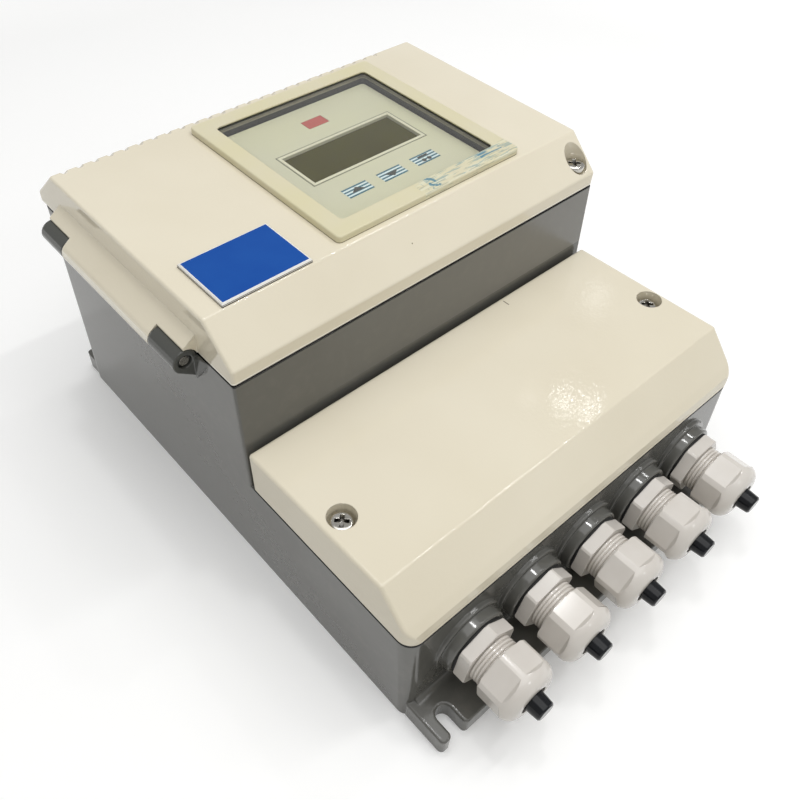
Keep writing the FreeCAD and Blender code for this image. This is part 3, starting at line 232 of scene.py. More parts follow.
class LegendSizes(bpy.types.PropertyGroup):
    """Sizes of the prints on the front foil."""

    key_width: length("Key width", "Width of one key's print", 13.0)
    key_height: length("Key height", "Height of one key's print", 6.4)
    key_pitch: length("Key pitch", "Distance from key to key", 19.0)
    key_x: length("Key row X", "Middle key's place across the unit", 14.0)
    key_y: length("Key row Y", "Key row's place along the unit", 19.2)
    stripe: length("Stripe", "Height of one stripe", 0.85)
    sign_width: length("Sign", "Width of the sign on a key", 7.2)
    ink: length("Ink", "Thickness of one layer of print", 0.04)
    outline: length("Display line", "Width of the line round the display", 0.45)


class ScrewSizes(bpy.types.PropertyGroup):
    """Sizes of the screws that hold the lid and the terminal cover."""

    head_radius: length("Head radius", "Radius of the head", 4.8)
    head_height: length("Head height", "Height of the head over its seat", 3.9)
    head_seat: length("Seat depth", "Depth of the seat below the top of the solid screw", 2.8)
    cross_reach: length("Cross", "Length of an arm's cutter at its widest", 7.4)
    cross_width: length("Cross width", "Width of an arm's cutter at its widest", 2.2)
    cross_depth: length("Cross depth", "Depth of the cross recess", 1.7)
    shank_radius: length("Shank radius", "Radius of the shank over the thread", 2.1)
    pitch: length("Pitch", "Pitch of the thread", 0.8)


class StageSettings(bpy.types.PropertyGroup):
    """Camera, floor and lamps."""

    lens: number("Lens", "Focal length", 36.9, subtype="DISTANCE_CAMERA", unit="CAMERA")
    key_power: power("Overhead lamp", "Power of the softbox above", 7.6)
    fill_power: power("Fill lamp", "Power of the softbox in front", 0.5)
    tube_power: power("Tube", "Power of the long lamp that draws a line along the creases", 2.6)
    bulb_power: power("Bulbs", "Power of each small lamp that glints in the paint", 1.0)
    glare_power: power("Glare lamps", "Power of each near lamp mirrored in the cover", 0.032)
    lift: number("Paper lift", "Glow that turns the paper white", 0.1)
    daylight: number("Daylight", "Strength of the room's light", 0.44)
    floor: colour("Floor", "Studio floor as the camera sees it", "#FBFBFA")
    bounce: colour("Floor bounce", "Studio floor as it lights the unit", "#DAD8D2")


# Finishes


def cream_coat(tint):
    """Powder coat on cast aluminium: warm cream gloss, orange peel in reflections, a few specks,
    and a painted highlight along the lid's lower edge.
    """
    material, tree, place = new_material("cream_powder_coat")
    drift = speckled(tree, place, 70, (0.35, 0.75), 0.8)
    cells = node(tree, "ShaderNodeTexVoronoi", {"Vector": place, "Scale": per_mm(15)})
    # A speck is the middle of a cell, and about a quarter of the cells have one
    near = {0: cells.outputs["Distance"], 1: 0.024}
    rare = {0: cells.outputs["Color"], 1: 0.74}
    speck = {
        0: node(tree, "ShaderNodeMath", near, operation="LESS_THAN").outputs[0],
        1: node(tree, "ShaderNodeMath", rare, operation="GREATER_THAN").outputs[0],
    }
    speck = node(tree, "ShaderNodeMath", speck, operation="MULTIPLY").outputs[0]
    # Painted highlight: a thin pale line along the lid's lower edge, where its rounded edge would
    # catch the light
    lid_edge_highlight = inside(tree, place, (None, None, LID_JOINT[0]), (None, None, LID_JOINT[1] + 0.8))
    rear, top = box_mm("terminal_cover")[1][1:]
    scratch = inside(tree, place, (40.1, rear - 5.6, top - 4), (40.6, rear - 2.2, top))
    base = coats(
        tree,
        tint,
        (drift, linear("#E0D7C0")),
        (speck, linear("#8A806A")),
        (lid_edge_highlight, linear("#F8F3E4")),
        (scratch, linear("#857C6B")),
    )
    gloss = node(tree, "ShaderNodeMapRange", {"Value": drift, "To Min": 0.04, "To Max": 0.08})
    close_material(
        tree,
        {
            "Base Color": base,
            "Roughness": gloss.outputs["Result"],
            "IOR": 1.55,
            "Normal": grain(tree, place, 1.8, 0.035, 0.5),
        },
    )
    return material


def grey_enamel(tint):
    """Stove enamel on a casting: deep gloss grey, wavy and dusty; black seal at the joints widened
    with painted gap shade, painted shade on the knuckles, and a painted reflection that lightens
    the step wall to the right.
    """
    material, tree, place = new_material("grey_enamel_on_casting")
    drift = speckled(tree, place, 55, (0.3, 0.75), 0.7)
    dust = speckled(tree, place, 6, (0.5, 0.8), 0.25)
    # Black bands along both joints: the seal's own black, widened with painted shade of the gap
    # between the parts
    band_depth, spread = 0.55, 0.5
    low, high = box_mm("lid_gasket")
    lid_seal_and_gap_shade = inside(
        tree,
        place,
        (low[0] - spread, low[1] - spread, LID_JOINT[0] - band_depth),
        (high[0] + spread, high[1] + spread, LID_JOINT[1]),
    )
    low, high = box_mm("terminal_gasket")
    cover_seal_and_gap_shade = inside(
        tree,
        place,
        (low[0] - spread, low[1] - 2, COVER_JOINT[0] - band_depth),
        (high[0] + spread, high[1], COVER_JOINT[1]),
    )
    # Painted shade: the hinge knuckles darker, as they mirror the dark surroundings
    low, high = box_mm("hinge_pin_front")
    knuckle_painted_shade = inside(
        tree, place, (low[0] - 6, None, low[2] - 12), (high[0] + 3.2, None, high[2] + 6)
    )
    # The wall behind the terminal cover is painted lighter towards the right, a painted reflection
    low, high = box_mm("terminal_cover")
    step_wall = inside(
        tree, place, (None, high[1] + 2, COVER_JOINT[1]), (None, high[1] + 5, LID_JOINT[0])
    )
    across = node(tree, "ShaderNodeSeparateXYZ", {"Vector": place}).outputs["X"]
    steps = {"Value": across, "From Min": low[0] * MM, "From Max": high[0] * MM, "To Max": 0.55}
    lighter_to_right = node(tree, "ShaderNodeMapRange", steps).outputs["Result"]
    step_wall_reflection = {0: lighter_to_right, 1: step_wall}
    step_wall_reflection = node(tree, "ShaderNodeMath", step_wall_reflection, operation="MULTIPLY").outputs[0]
    base = coats(
        tree,
        tint,
        (drift, linear("#62625E")),
        (dust, linear("#706D66")),
        (step_wall_reflection, linear("#86847E")),
        (knuckle_painted_shade, linear("#4D4E4A")),
        (lid_seal_and_gap_shade, linear("#0B0B0A")),
        (cover_seal_and_gap_shade, linear("#0B0B0A")),
    )
    dull = node(tree, "ShaderNodeMath", {0: dust, 1: step_wall}, operation="MAXIMUM").outputs[0]
    gloss = node(tree, "ShaderNodeMapRange", {"Value": dull, "To Min": 0.1, "To Max": 0.25})
    close_material(
        tree,
        {
            "Base Color": base,
            "Roughness": gloss.outputs["Result"],
            "IOR": 1.55,
            "Normal": grain(tree, place, 3.4, 0.022, 0.9),
        },
    )
    return material


def moulded(name, tint, shade, roughness, drift=10.0, skin=0.008, metallic=0.0, specular=0.5):
    """Moulded or plated finish whose tone drifts over some millimetres, with a fine skin."""
    material, tree, place = new_material(name)
    base = coats(tree, tint, (speckled(tree, place, drift, (0.3, 0.7), 1.0), shade))
    close_material(
        tree,
        {
            "Base Color": base,
            "Roughness": roughness,
            "Metallic": metallic,
            "Specular IOR Level": specular,
            "Normal": grain(tree, place, 0.9, skin),
        },
    )
    return material


def bezel_abs(tint):
    """Aged ABS: yellowed satin, worn and inked on the front rail, painted shade near black in the
    rabbet under the pane, and a darker foot of painted contact shadow with some dirt.
    """
    material, tree, place = new_material("bezel_aged_abs")
    low, high = box_mm("window_bezel")
    rail = inside(tree, place, (low[0] + 45, low[1], None), (high[0], low[1] + 9, None))
    inked = inside(tree, place, (45, low[1] + 4.5, None), (58, low[1] + 8.5, None))
    blotted = inside(tree, place, (11.5, low[1] + 0.5, None), (18.5, low[1] + 8, None))
    scraped = inside(tree, place, (14, low[1] + 0.5, None), (high[0], low[1] + 8, None))
    # Painted shade: the rabbet under the pane painted near black
    ledge = 4.9
    rabbet_painted_shade = inside(
        tree,
        place,
        (low[0] + ledge, low[1] + ledge, low[2] - 1),
        (high[0] - ledge, high[1] - ledge, high[2] - 0.55),
    )
    # Darker brownish band along the frame's foot: painted contact shadow with some dirt
    foot = inside(tree, place, (None, None, low[2] - 1), (None, None, low[2] + 0.35))
    stretch = {"Vector": place, "Scale": (0.12, 1.0, 1.0)}
    along = node(tree, "ShaderNodeMapping", stretch).outputs["Vector"]
    base = coats(
        tree,
        tint,
        (speckled(tree, place, 26, (0.35, 0.7), 0.8), linear("#D9D2B8")),
        (speckled(tree, along, 2.0, (0.46, 0.62), 0.6, rail), linear("#E0E1CC")),
        (speckled(tree, along, 0.8, (0.55, 0.62), 0.6, rail), linear("#A5A68E")),
        (speckled(tree, along, 1.0, (0.55, 0.6), 0.75, scraped), linear("#8DA5A2")),
        (speckled(tree, along, 1.7, (0.5, 0.56), 0.9, inked), linear("#3F7F9A")),
        (speckled(tree, place, 2.3, (0.5, 0.57), 0.9, blotted), linear("#3F8096")),
        (foot, linear("#82795A")),
        (rabbet_painted_shade, linear("#15150F")),
    )
    skin = grain(tree, place, 1.2, 0.015)
    close_material(tree, {"Base Color": base, "Roughness": 0.4, "Normal": skin})
    return material


def clear_pane():
    """Clear acrylic sheet: mirrors the room a little and lets the lamps through."""
    material, tree, _ = new_material("clear_acrylic")
    glass = node(
        tree,
        "ShaderNodeBsdfPrincipled",
        {"Base Color": (1, 1, 1, 1), "Roughness": 0.0, "IOR": 1.49, "Transmission Weight": 1.0},
    )
    clear = node(tree, "ShaderNodeBsdfTransparent", {"Color": (0.93, 0.94, 0.92, 1)})
    path = node(tree, "ShaderNodeLightPath").outputs
    lit = {0: path["Is Shadow Ray"], 1: path["Is Diffuse Ray"]}
    lit = node(tree, "ShaderNodeMath", lit, operation="MAXIMUM").outputs[0]
    mix = node(
        tree, "ShaderNodeMixShader", {0: lit, 1: glass.outputs["BSDF"], 2: clear.outputs["BSDF"]}
    )
    node(tree, "ShaderNodeOutputMaterial", {"Surface": mix.outputs["Shader"]})
    return material


def liner_plastic():
    """Moulded ABS sleeve: matt black with a bare grey land under the pane."""
    material, tree, place = new_material("liner_black_abs")
    top = box_mm("window_liner")[1][2]
    land = inside(tree, place, (None, None, top - 1.7), (None, None, top - 0.1))
    base = coats(
        tree,
        linear("#16160F"),
        (land, linear("#8B867A")),
        (speckled(tree, place, 1.5, (0.5, 0.7), 0.5, land), linear("#6B675C")),
    )
    skin = grain(tree, place, 0.9, 0.01)
    close_material(tree, {"Base Color": base, "Roughness": 0.45, "Normal": skin})
    return material


def front_foil(tint):
    """Printed polyester foil: matt grey-beige with a lighter raised rim round the display."""
    material, tree, place = new_material("front_polyester_foil")
    foil_level, rim_level = (box_mm(name)[1][2] for name in ("front_foil", "display_plate"))
    between = (foil_level + rim_level) / 2
    rim = inside(tree, place, (None, None, between), (None, None, rim_level + 1))
    base = coats(
        tree,
        tint,
        (speckled(tree, place, 30, (0.3, 0.75), 0.8), linear("#D7D4BD")),
        (rim, linear("#E7E3C9")),
    )
    skin = grain(tree, place, 0.8, 0.006)
    close_material(tree, {"Base Color": base, "Roughness": 0.5, "Normal": skin})
    return material


def lcd_polariser(tint):
    """Switched-off liquid crystal: dark olive under a satin polariser, a little paler in clouds."""
    material, tree, place = new_material("display_polariser")
    base = coats(tree, tint, (speckled(tree, place, 14, (0.35, 0.75), 0.6), linear("#4C4908")))
    close_material(
        tree,
        {
            "Base Color": base,
            "Roughness": 0.35,
            "Specular IOR Level": 0.04,
            "Normal": grain(tree, place, 1.2, 0.004),
        },
    )
    return material


def tag_laminate(face):
    """Engraving laminate: blue face with a white border, layers of its core at the edge, the lowest
    deepened as painted contact shadow.
    """
    material, tree, place = new_material("tag_engraving_laminate")
    low, high = box_mm("tag_plate")
    border = 0.85
    field = inside(
        tree,
        place,
        (low[0] + border, low[1] + border, high[2] - 0.3),
        (high[0] - border, high[1] - border, high[2] + 1),
    )
    # Dark band at the bottom of the edge: the laminate's back layer, deepened as painted contact
    # shadow
    back_layer_and_shadow = inside(tree, place, (None, None, low[2] - 1), (None, None, low[2] + 0.45))
    seam = inside(tree, place, (None, None, low[2] + 0.75), (None, None, low[2] + 1.0))
    base = coats(
        tree,
        linear("#E9E8E2"),
        (field, face),
        (speckled(tree, place, 18, (0.4, 0.8), 0.5, field), linear("#1457A8")),
        (back_layer_and_shadow, linear("#3C3530")),
        (seam, linear("#5A5049")),
    )
    close_material(
        tree,
        {
            "Base Color": base,
            "Roughness": 0.35,
            "Specular IOR Level": 0.25,
            "Normal": grain(tree, place, 0.8, 0.006),
        },
    )
    return material


def screw_zinc():
    """Bright zinc on steel: mirror-like metal, slightly cloudy, painted dark and dull in the
    recesses as shade.
    """
    material, tree, place = new_material("screw_bright_zinc")
    # Painted shade: the recesses, found by occlusion, darkened and dulled
    reach = {"Distance": 1.6 * MM}
    recess = node(tree, "ShaderNodeAmbientOcclusion", reach, samples=8, only_local=True)
    open_air = recess.outputs["AO"]
    steps = {"Value": open_air, "From Min": 0.45, "From Max": 0.85, "To Min": 0.9, "To Max": 0.0}
    recess_painted_shade = node(tree, "ShaderNodeMapRange", steps).outputs["Result"]
    base = coats(
        tree,
        linear("#D2CFC8"),
        (speckled(tree, place, 3, (0.3, 0.7), 1.0), linear("#B3B0A8")),
        (recess_painted_shade, linear("#2B2824")),
    )
    dull = node(tree, "ShaderNodeMapRange", {"Value": recess_painted_shade, "To Min": 0.14, "To Max": 0.4})
    close_material(
        tree,
        {
            "Base Color": base,
            "Roughness": dull.outputs["Result"],
            "Metallic": 1.0,
            "Normal": grain(tree, place, 0.9, 0.004),
        },
    )
    return material


def circuit_board(name, parts=()):
    """Epoxy glass board: green resist with pale tracks; parts are boxes in their own colours."""
    material, tree, place = new_material(name)
    tracks = node(
        tree,
        "ShaderNodeTexBrick",
        {
            "Vector": place,
            "Color1": linear("#1C6034"),
            "Color2": linear("#24703C"),
            "Mortar": linear("#3E8B55"),
            "Scale": per_mm(4),
            "Mortar Size": 0.03,
        },
    )
    layers = [(inside(tree, place, low, high), linear(code)) for low, high, code in parts]
    base = coats(tree, tracks.outputs["Color"], *layers)
    skin = grain(tree, place, 0.9, 0.01)
    close_material(tree, {"Base Color": base, "Roughness": 0.35, "Normal": skin})
    return material


def zinc_sheet():
    """Zinc-plated steel sheet: pale metal with a faint spangle."""
    material, tree, place = new_material("zinc_plated_sheet")
    spangle = node(tree, "ShaderNodeTexVoronoi", {"Vector": place, "Scale": per_mm(9)})
    steps = {"Value": spangle.outputs["Color"], "To Min": 0.28, "To Max": 0.46}
    shine = node(tree, "ShaderNodeMapRange", steps).outputs["Result"]
    cloud = speckled(tree, place, 20, (0.4, 0.8), 0.6)
    tint = coats(tree, linear("#BFC1C0"), (cloud, linear("#A9ABAA")))
    close_material(tree, {"Base Color": tint, "Metallic": 1.0, "Roughness": shine})
    return material


def transformer_iron():
    """Laminated core, its sheets drawn coarser than real so that they show, and a taped winding."""
    material, tree, place = new_material("laminated_transformer_core")
    low, high = box_mm("transformer")
    stack = {"Vector": place, "Scale": per_mm(1.2) / math.tau}
    sheets = node(tree, "ShaderNodeTexWave", stack, bands_direction="X")
    winding = 5.9
    front = inside(tree, place, (None, low[1] - 1, None), (None, low[1] + winding, None))
    rear = inside(tree, place, (None, high[1] - winding, None), (None, high[1] + 1, None))
    base = coats(
        tree,
        linear("#4A4B4C"),
        (sheets.outputs["Fac"], linear("#2E2F30")),
        (front, linear("#C79A35")),
        (rear, linear("#C79A35")),
    )
    close_material(tree, {"Base Color": base, "Roughness": 0.5})
    return material


# Modelling


def begin(name, add, **settings):
    """Start a piece from one primitive, alone and in edit mode."""
    bpy.ops.object.select_all(action="DESELECT")
    add(**settings)
    piece = bpy.context.object
    piece.name = name
    bpy.ops.object.mode_set(mode="EDIT")
    bpy.ops.mesh.select_all(action="SELECT")
    return piece


def raise_print(height):
    """Give the flat outline in edit mode its thickness, faces outward."""
    bpy.ops.mesh.select_all(action="SELECT")
    bpy.ops.mesh.extrude_region_move(TRANSFORM_OT_translate={"value": (0, 0, height)})
    bpy.ops.mesh.select_all(action="SELECT")
    bpy.ops.mesh.normals_make_consistent(inside=False)


def finish_piece(piece, place, material, body="base"):
    """Leave edit mode, set the piece down at its place and let it ride on a body."""
    bpy.ops.object.mode_set(mode="OBJECT")
    piece.location = place
    bpy.ops.object.transform_apply(location=True, rotation=True, scale=True)
    piece.data.materials.append(material)
    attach(piece, body)


def copy_piece(piece, name, shift, body="base"):
    """Copy of a piece with its own mesh, moved to its own place."""
    bpy.ops.object.select_all(action="DESELECT")
    piece.select_set(True)
    bpy.context.view_layer.objects.active = piece
    bpy.ops.object.duplicate(linked=False)
    twin = bpy.context.object
    twin.name = name
    twin.location = shift
    bpy.ops.object.transform_apply(location=True, rotation=False, scale=False)
    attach(twin, body)
    return twin


def foil_top():
    """Height of the front foil's face."""
    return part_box("front_foil")[1][2]


# Operators


class FLOW_OT_coat_castings(bpy.types.Operator):
    """Paint the housing, the lid and the terminal cover"""

    bl_idname = "flow.coat_castings"
    bl_label = "Coat castings"

    def execute(self, context):
        colours = context.scene.unit_colours
        coat_nodes(cream_coat(colours.cream), "lid", "terminal_cover")
        coat_nodes(grey_enamel(colours.enamel), "housing")
        return {"FINISHED"}


class FLOW_OT_finish_window(bpy.types.Operator):
    """Finish the window frame, its pane and the display behind it"""

    bl_idname = "flow.finish_window"
    bl_label = "Finish window"

    def execute(self, context):
        colours = context.scene.unit_colours
        coat_nodes(bezel_abs(colours.bezel), "window_bezel")
        coat_nodes(clear_pane(), "window_pane")
        coat_nodes(liner_plastic(), "window_liner")
        coat_nodes(front_foil(colours.plate), "display_plate", "front_foil")
        coat_nodes(lcd_polariser(colours.display), "lcd_module")
        # Red acrylic over a dark lamp: dull red with a soft gloss
        red = moulded("lamp_red_acrylic", colours.lamp, linear("#BE544B"), roughness=0.3)
        coat_nodes(red, "status_led")
        return {"FINISHED"}


class FLOW_OT_finish_fittings(bpy.types.Operator):
    """Finish the tag, the seals and the screws"""

    bl_idname = "flow.finish_fittings"
    bl_label = "Finish fittings"

    def execute(self, context):
        colours = context.scene.unit_colours
        coat_nodes(tag_laminate(colours.tag), "tag_plate")
        # Moulded neoprene: matt black that shows as dark joint lines
        rubber = moulded("seal_neoprene", linear("#0E0E0E"), linear("#1A1A19"), roughness=0.7)
        coat_nodes(rubber, "lid_gasket", "terminal_gasket", "gland_seals", "gland_washers")
        # Zinc-plated steel: bright, slightly cloudy metal
        steel = moulded(
            "screw_zinc_steel",
            linear("#A5A29A"),
            linear("#86837B"),
            roughness=0.2,
            drift=3.0,
            skin=0.003,
            metallic=1.0,
        )
        coat_nodes(steel, *numbered("hinge_pin"))
        coat_nodes(steel, "liner_screws", "chassis_screws", "terminal_board_screws")
        # Turned brass: soft yellow metal
        brass = moulded(
            "brass_turned",
            linear("#B8954B"),
            linear("#A4803A"),
            roughness=0.28,
            drift=4.0,
            skin=0.004,
            metallic=1.0,
        )
        coat_nodes(brass, "earth_screw", "board_spacers")
        return {"FINISHED"}


class FLOW_OT_finish_glands(bpy.types.Operator):
    """Finish the cable glands and their plugs"""

    bl_idname = "flow.finish_glands"
    bl_label = "Finish cable glands"

    def execute(self, context):
        colours = context.scene.unit_colours
        # Moulded polyamide: light warm grey with a soft gloss and a slight drift of tone
        polyamide = moulded(
            "gland_polyamide",
            colours.polyamide,
            linear("#D3CDC5"),
            roughness=0.13,
            drift=14.0,
            skin=0.004,
        )
        coat_nodes(polyamide, *numbered("gland_body"), *numbered("gland_nut"), "gland_lock_nuts")
        # Moulded polyethylene: near black with a smooth gloss
        plug = moulded(
            "plug_polyethylene",
            colours.plug,
            linear("#14161A"),
            roughness=0.12,
            drift=6.0,
            skin=0.003,
            specular=0.3,
        )
        coat_nodes(plug, *numbered("gland_plug"))
        return {"FINISHED"}


class FLOW_OT_finish_inside(bpy.types.Operator):
    """Finish the boards, the chassis and the terminals inside"""

    bl_idname = "flow.finish_inside"
    bl_label = "Finish inside"

    def execute(self, context):
        black, aluminium, cream, blue = "#232325", "#A9ABAD", "#C9C4B4", "#2B4E7E"
        # Parts begin just over a board's face and take the colour of their boxes
        laminate = 1.7
        low, high = box_mm("main_board")
        face, top = low[2] + laminate, high[2] + 1
        can = low[0] + 38
        parts = [
            ((None, None, face), (None, None, top), black),
            ((can, low[1] + 19, face), (can + 22, low[1] + 29, top), aluminium),
            ((None, low[1] - 1, face), (None, low[1] + 11, top), cream),
        ]
        coat_nodes(circuit_board("main_board_epoxy_glass", parts), "main_board")
        low, high = box_mm("power_board")
        face, top = low[0] + laminate, high[0] + 1
        parts = [
            ((face, None, None), (top, None, None), black),
            ((face, 58, 54), (top, 74, 70), blue),
        ]
        coat_nodes(circuit_board("power_board_epoxy_glass", parts), "power_board")
        coat_nodes(circuit_board("board_epoxy_glass"), "display_board", "terminal_board")
        # Moulded glass-filled polyester: matt black
        dark = moulded(
            "inside_black_polyester", linear("#1B1B1C"), linear("#262627"), roughness=0.5
        )
        coat_nodes(dark, "display_carrier", "feed_connector")
        # Moulded polyamide of the terminals: grey-green, satin
        terminals = moulded(
            "terminal_polyamide", linear("#7E877C"), linear("#727A71"), roughness=0.45
        )
        coat_nodes(terminals, *numbered("terminal_block"))
        coat_nodes(zinc_sheet(), "chassis")
        coat_nodes(transformer_iron(), "transformer")
        return {"FINISHED"}


class FLOW_OT_turn_screws(bpy.types.Operator):
    """Model the four cover screws: pan heads with a cross recess and threaded shanks"""

    bl_idname = "flow.turn_screws"
    bl_label = "Turn cover screws"

    def execute(self, context):
        sizes = context.scene.screw_sizes
        zinc = screw_zinc()
        for pair, body in (
            (("lid_screw_front", "lid_screw_rear"), "lid"),
            (("cover_screw_left", "cover_screw_right"), "base"),
        ):
            first, second = (self.seat(name, sizes) for name in pair)
            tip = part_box(pair[0])[0][2] - first.z
            piece = self.model(f"{pair[0]}_turned", tip, sizes)
            finish_piece(piece, first, zinc, body)
            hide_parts(pair[0])
            twin = copy_piece(piece, f"{pair[1]}_turned", second - first, body)
            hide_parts(pair[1])
        return {"FINISHED"}

    def seat(self, name, sizes):
        """Middle of the plane on which a screw's head rests."""
        low, high = (Vector(corner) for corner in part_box(name))
        middle = (low + high) / 2
        middle.z = high.z - sizes.head_seat
        return middle

    def model(self, name, tip, sizes):
        """One screw with its head's seat at the origin and its tip below."""
        piece = begin(
            name,
            bpy.ops.mesh.primitive_cylinder_add,
            vertices=48,
            radius=sizes.head_radius,
            depth=sizes.head_height,
            location=(0, 0, sizes.head_height / 2),
        )
        bpy.ops.mesh.select_all(action="DESELECT")
        bpy.ops.object.mode_set(mode="OBJECT")
        bpy.ops.object.transform_apply(location=True, rotation=True, scale=True)
        for vertex in piece.data.vertices:
            vertex.select = vertex.co.z > sizes.head_height / 2
        bpy.ops.object.mode_set(mode="EDIT")
        rounding = sizes.head_height * 0.36
        bpy.ops.mesh.bevel(offset=rounding, segments=6, profile=0.5)
        for turn in (math.pi / 4, -math.pi / 4):
            self.cut_arm(turn, sizes)
        self.add_shank(tip, sizes)
        bpy.ops.mesh.select_all(action="SELECT")
        bpy.ops.mesh.normals_make_consistent(inside=False)
        bpy.ops.object.mode_set(mode="OBJECT")
        bpy.ops.object.shade_smooth_by_angle(angle=math.radians(35))
        return piece

    def cut_arm(self, turn, sizes):
        """Cut one arm of the cross recess into the head, narrower towards its floor."""
        bpy.ops.mesh.select_all(action="DESELECT")
        crown = (0, 0, sizes.head_height)
        # The cutter starts as a square wedge, one unit wide at its brim and half that at its foot
        foot, brim = 0.35, 0.5**0.5
        bpy.ops.mesh.primitive_cone_add(
            vertices=4,
            radius1=foot,
            radius2=brim,
            depth=1,
            location=crown,
            rotation=(0, 0, math.pi / 4),
        )
        cutter = (sizes.cross_reach, sizes.cross_width, 2 * sizes.cross_depth)
        bpy.ops.transform.resize(value=cutter, center_override=crown)
        bpy.ops.transform.rotate(value=turn, orient_axis="Z", center_override=(0, 0, 0))
        bpy.ops.mesh.intersect_boolean(operation="DIFFERENCE", solver="EXACT")

    def add_shank(self, tip, sizes):
        """Add the shank below the head, with a thread of close rings at its end."""
        bpy.ops.mesh.select_all(action="DESELECT")
        rings, root = 10, 0.84
        sunk = sizes.cross_depth / 4
        bpy.ops.mesh.primitive_circle_add(
            vertices=24, radius=sizes.shank_radius, fill_type="NGON", location=(0, 0, sunk)
        )
        plain = (0, 0, tip + rings * sizes.pitch - sunk)
        bpy.ops.mesh.extrude_region_move(TRANSFORM_OT_translate={"value": plain})
        half_turn = (0, 0, -sizes.pitch / 2)
        for _ in range(rings):
            for waist in (root, 1 / root):
                bpy.ops.mesh.extrude_region_move(TRANSFORM_OT_translate={"value": half_turn})
                bpy.ops.transform.resize(value=(waist, waist, 1), center_override=(0, 0, 0))


class FLOW_OT_print_keys(bpy.types.Operator):
    """Print the three striped keys with their signs on the front foil"""

    bl_idname = "flow.print_keys"
    bl_label = "Print keys"

    def execute(self, context):
        colours = context.scene.unit_colours
        sizes = context.scene.legend_sizes
        # Screen-printed inks: thin matt layers on the foil with a slight drift of tone
        ground = moulded("key_ground_ink", colours.ground, linear("#E6F1F0"), roughness=0.5)
        stripe = moulded("key_stripe_ink", colours.stripe, linear("#2A6E82"), roughness=0.5)
        sign = moulded("key_sign_ink", colours.sign, linear("#383A35"), roughness=0.5)
        first = Vector((sizes.key_x - sizes.key_pitch, sizes.key_y, foil_top()))
        step = Vector((sizes.key_pitch, 0, 0))
        ink = Vector((0, 0, sizes.ink))

        piece = begin("key_ground_1", bpy.ops.mesh.primitive_plane_add, size=1)
        bpy.ops.transform.resize(value=(sizes.key_width, sizes.key_height, 1))
        raise_print(sizes.ink)
        finish_piece(piece, first, ground)
        for i in (1, 2):
            copy_piece(piece, f"key_ground_{i + 1}", step * i)

        piece = begin("key_stripes_1", bpy.ops.mesh.primitive_plane_add, size=1)
        bpy.ops.transform.resize(value=(sizes.key_width, sizes.stripe, 1))
        bpy.ops.transform.translate(value=(0, (sizes.stripe - sizes.key_height) / 2, 0))
        raise_print(sizes.ink)
        gap = (sizes.key_height - sizes.stripe) / 3
        for _ in range(3):
            bpy.ops.mesh.duplicate_move(TRANSFORM_OT_translate={"value": (0, gap, 0)})
        finish_piece(piece, first + ink, stripe)
        for i in (1, 2):
            copy_piece(piece, f"key_stripes_{i + 1}", step * i)

        # A triangle in a circle of radius 1 is the root of 3 wide
        across, up = sizes.sign_width / 3**0.5, sizes.sign_width * 0.28
        for i, turn in ((0, 1), (1, -1)):
            piece = begin(
                f"key_arrow_{i + 1}",
                bpy.ops.mesh.primitive_circle_add,
                vertices=3,
                radius=1,
                fill_type="NGON",
            )
            bpy.ops.transform.resize(value=(across, turn * up, 1), center_override=(0, 0, 0))
            raise_print(sizes.ink)
            finish_piece(piece, first + step * i + ink * 2, sign)

        # A bar over two dots
        piece = begin("key_sign_3", bpy.ops.mesh.primitive_plane_add, size=1)
        bar = sizes.sign_width * 0.76
        bpy.ops.transform.resize(value=(bar, bar * 0.22, 1))
        bpy.ops.transform.translate(value=(0, bar * 0.28, 0))
        for side in (-1, 1):
            bpy.ops.mesh.primitive_circle_add(
                vertices=8,
                radius=bar * 0.2,
                fill_type="NGON",
                location=(side * bar * 0.27, -bar * 0.22, 0),
            )
        raise_print(sizes.ink)
        finish_piece(piece, first + step * 2 + ink * 2, sign)
        return {"FINISHED"}


class FLOW_OT_print_outline(bpy.types.Operator):
    """Print the thin grey line round the display's rim"""

    bl_idname = "flow.print_outline"
    bl_label = "Print display line"

    def execute(self, context):
        sizes = context.scene.legend_sizes
        low, high = DISPLAY_RIM
        piece = begin("display_line", bpy.ops.mesh.primitive_plane_add, size=1)
        width = (high[0] - low[0]) * MM + 2 * sizes.outline
        height = (high[1] - low[1]) * MM + 2 * sizes.outline
        bpy.ops.transform.resize(value=(width, height, 1))
        bpy.ops.mesh.inset(thickness=sizes.outline, use_even_offset=True)
        bpy.ops.mesh.delete(type="FACE")
        raise_print(sizes.ink)
        middle = Vector(((low[0] + high[0]) / 2 * MM, (low[1] + high[1]) / 2 * MM, foil_top()))
        # Screen-printed line: thin matt grey-olive
        line = moulded("display_line_ink", linear("#88866F"), linear("#96947D"), roughness=0.5)
        finish_piece(piece, middle, line)
        return {"FINISHED"}


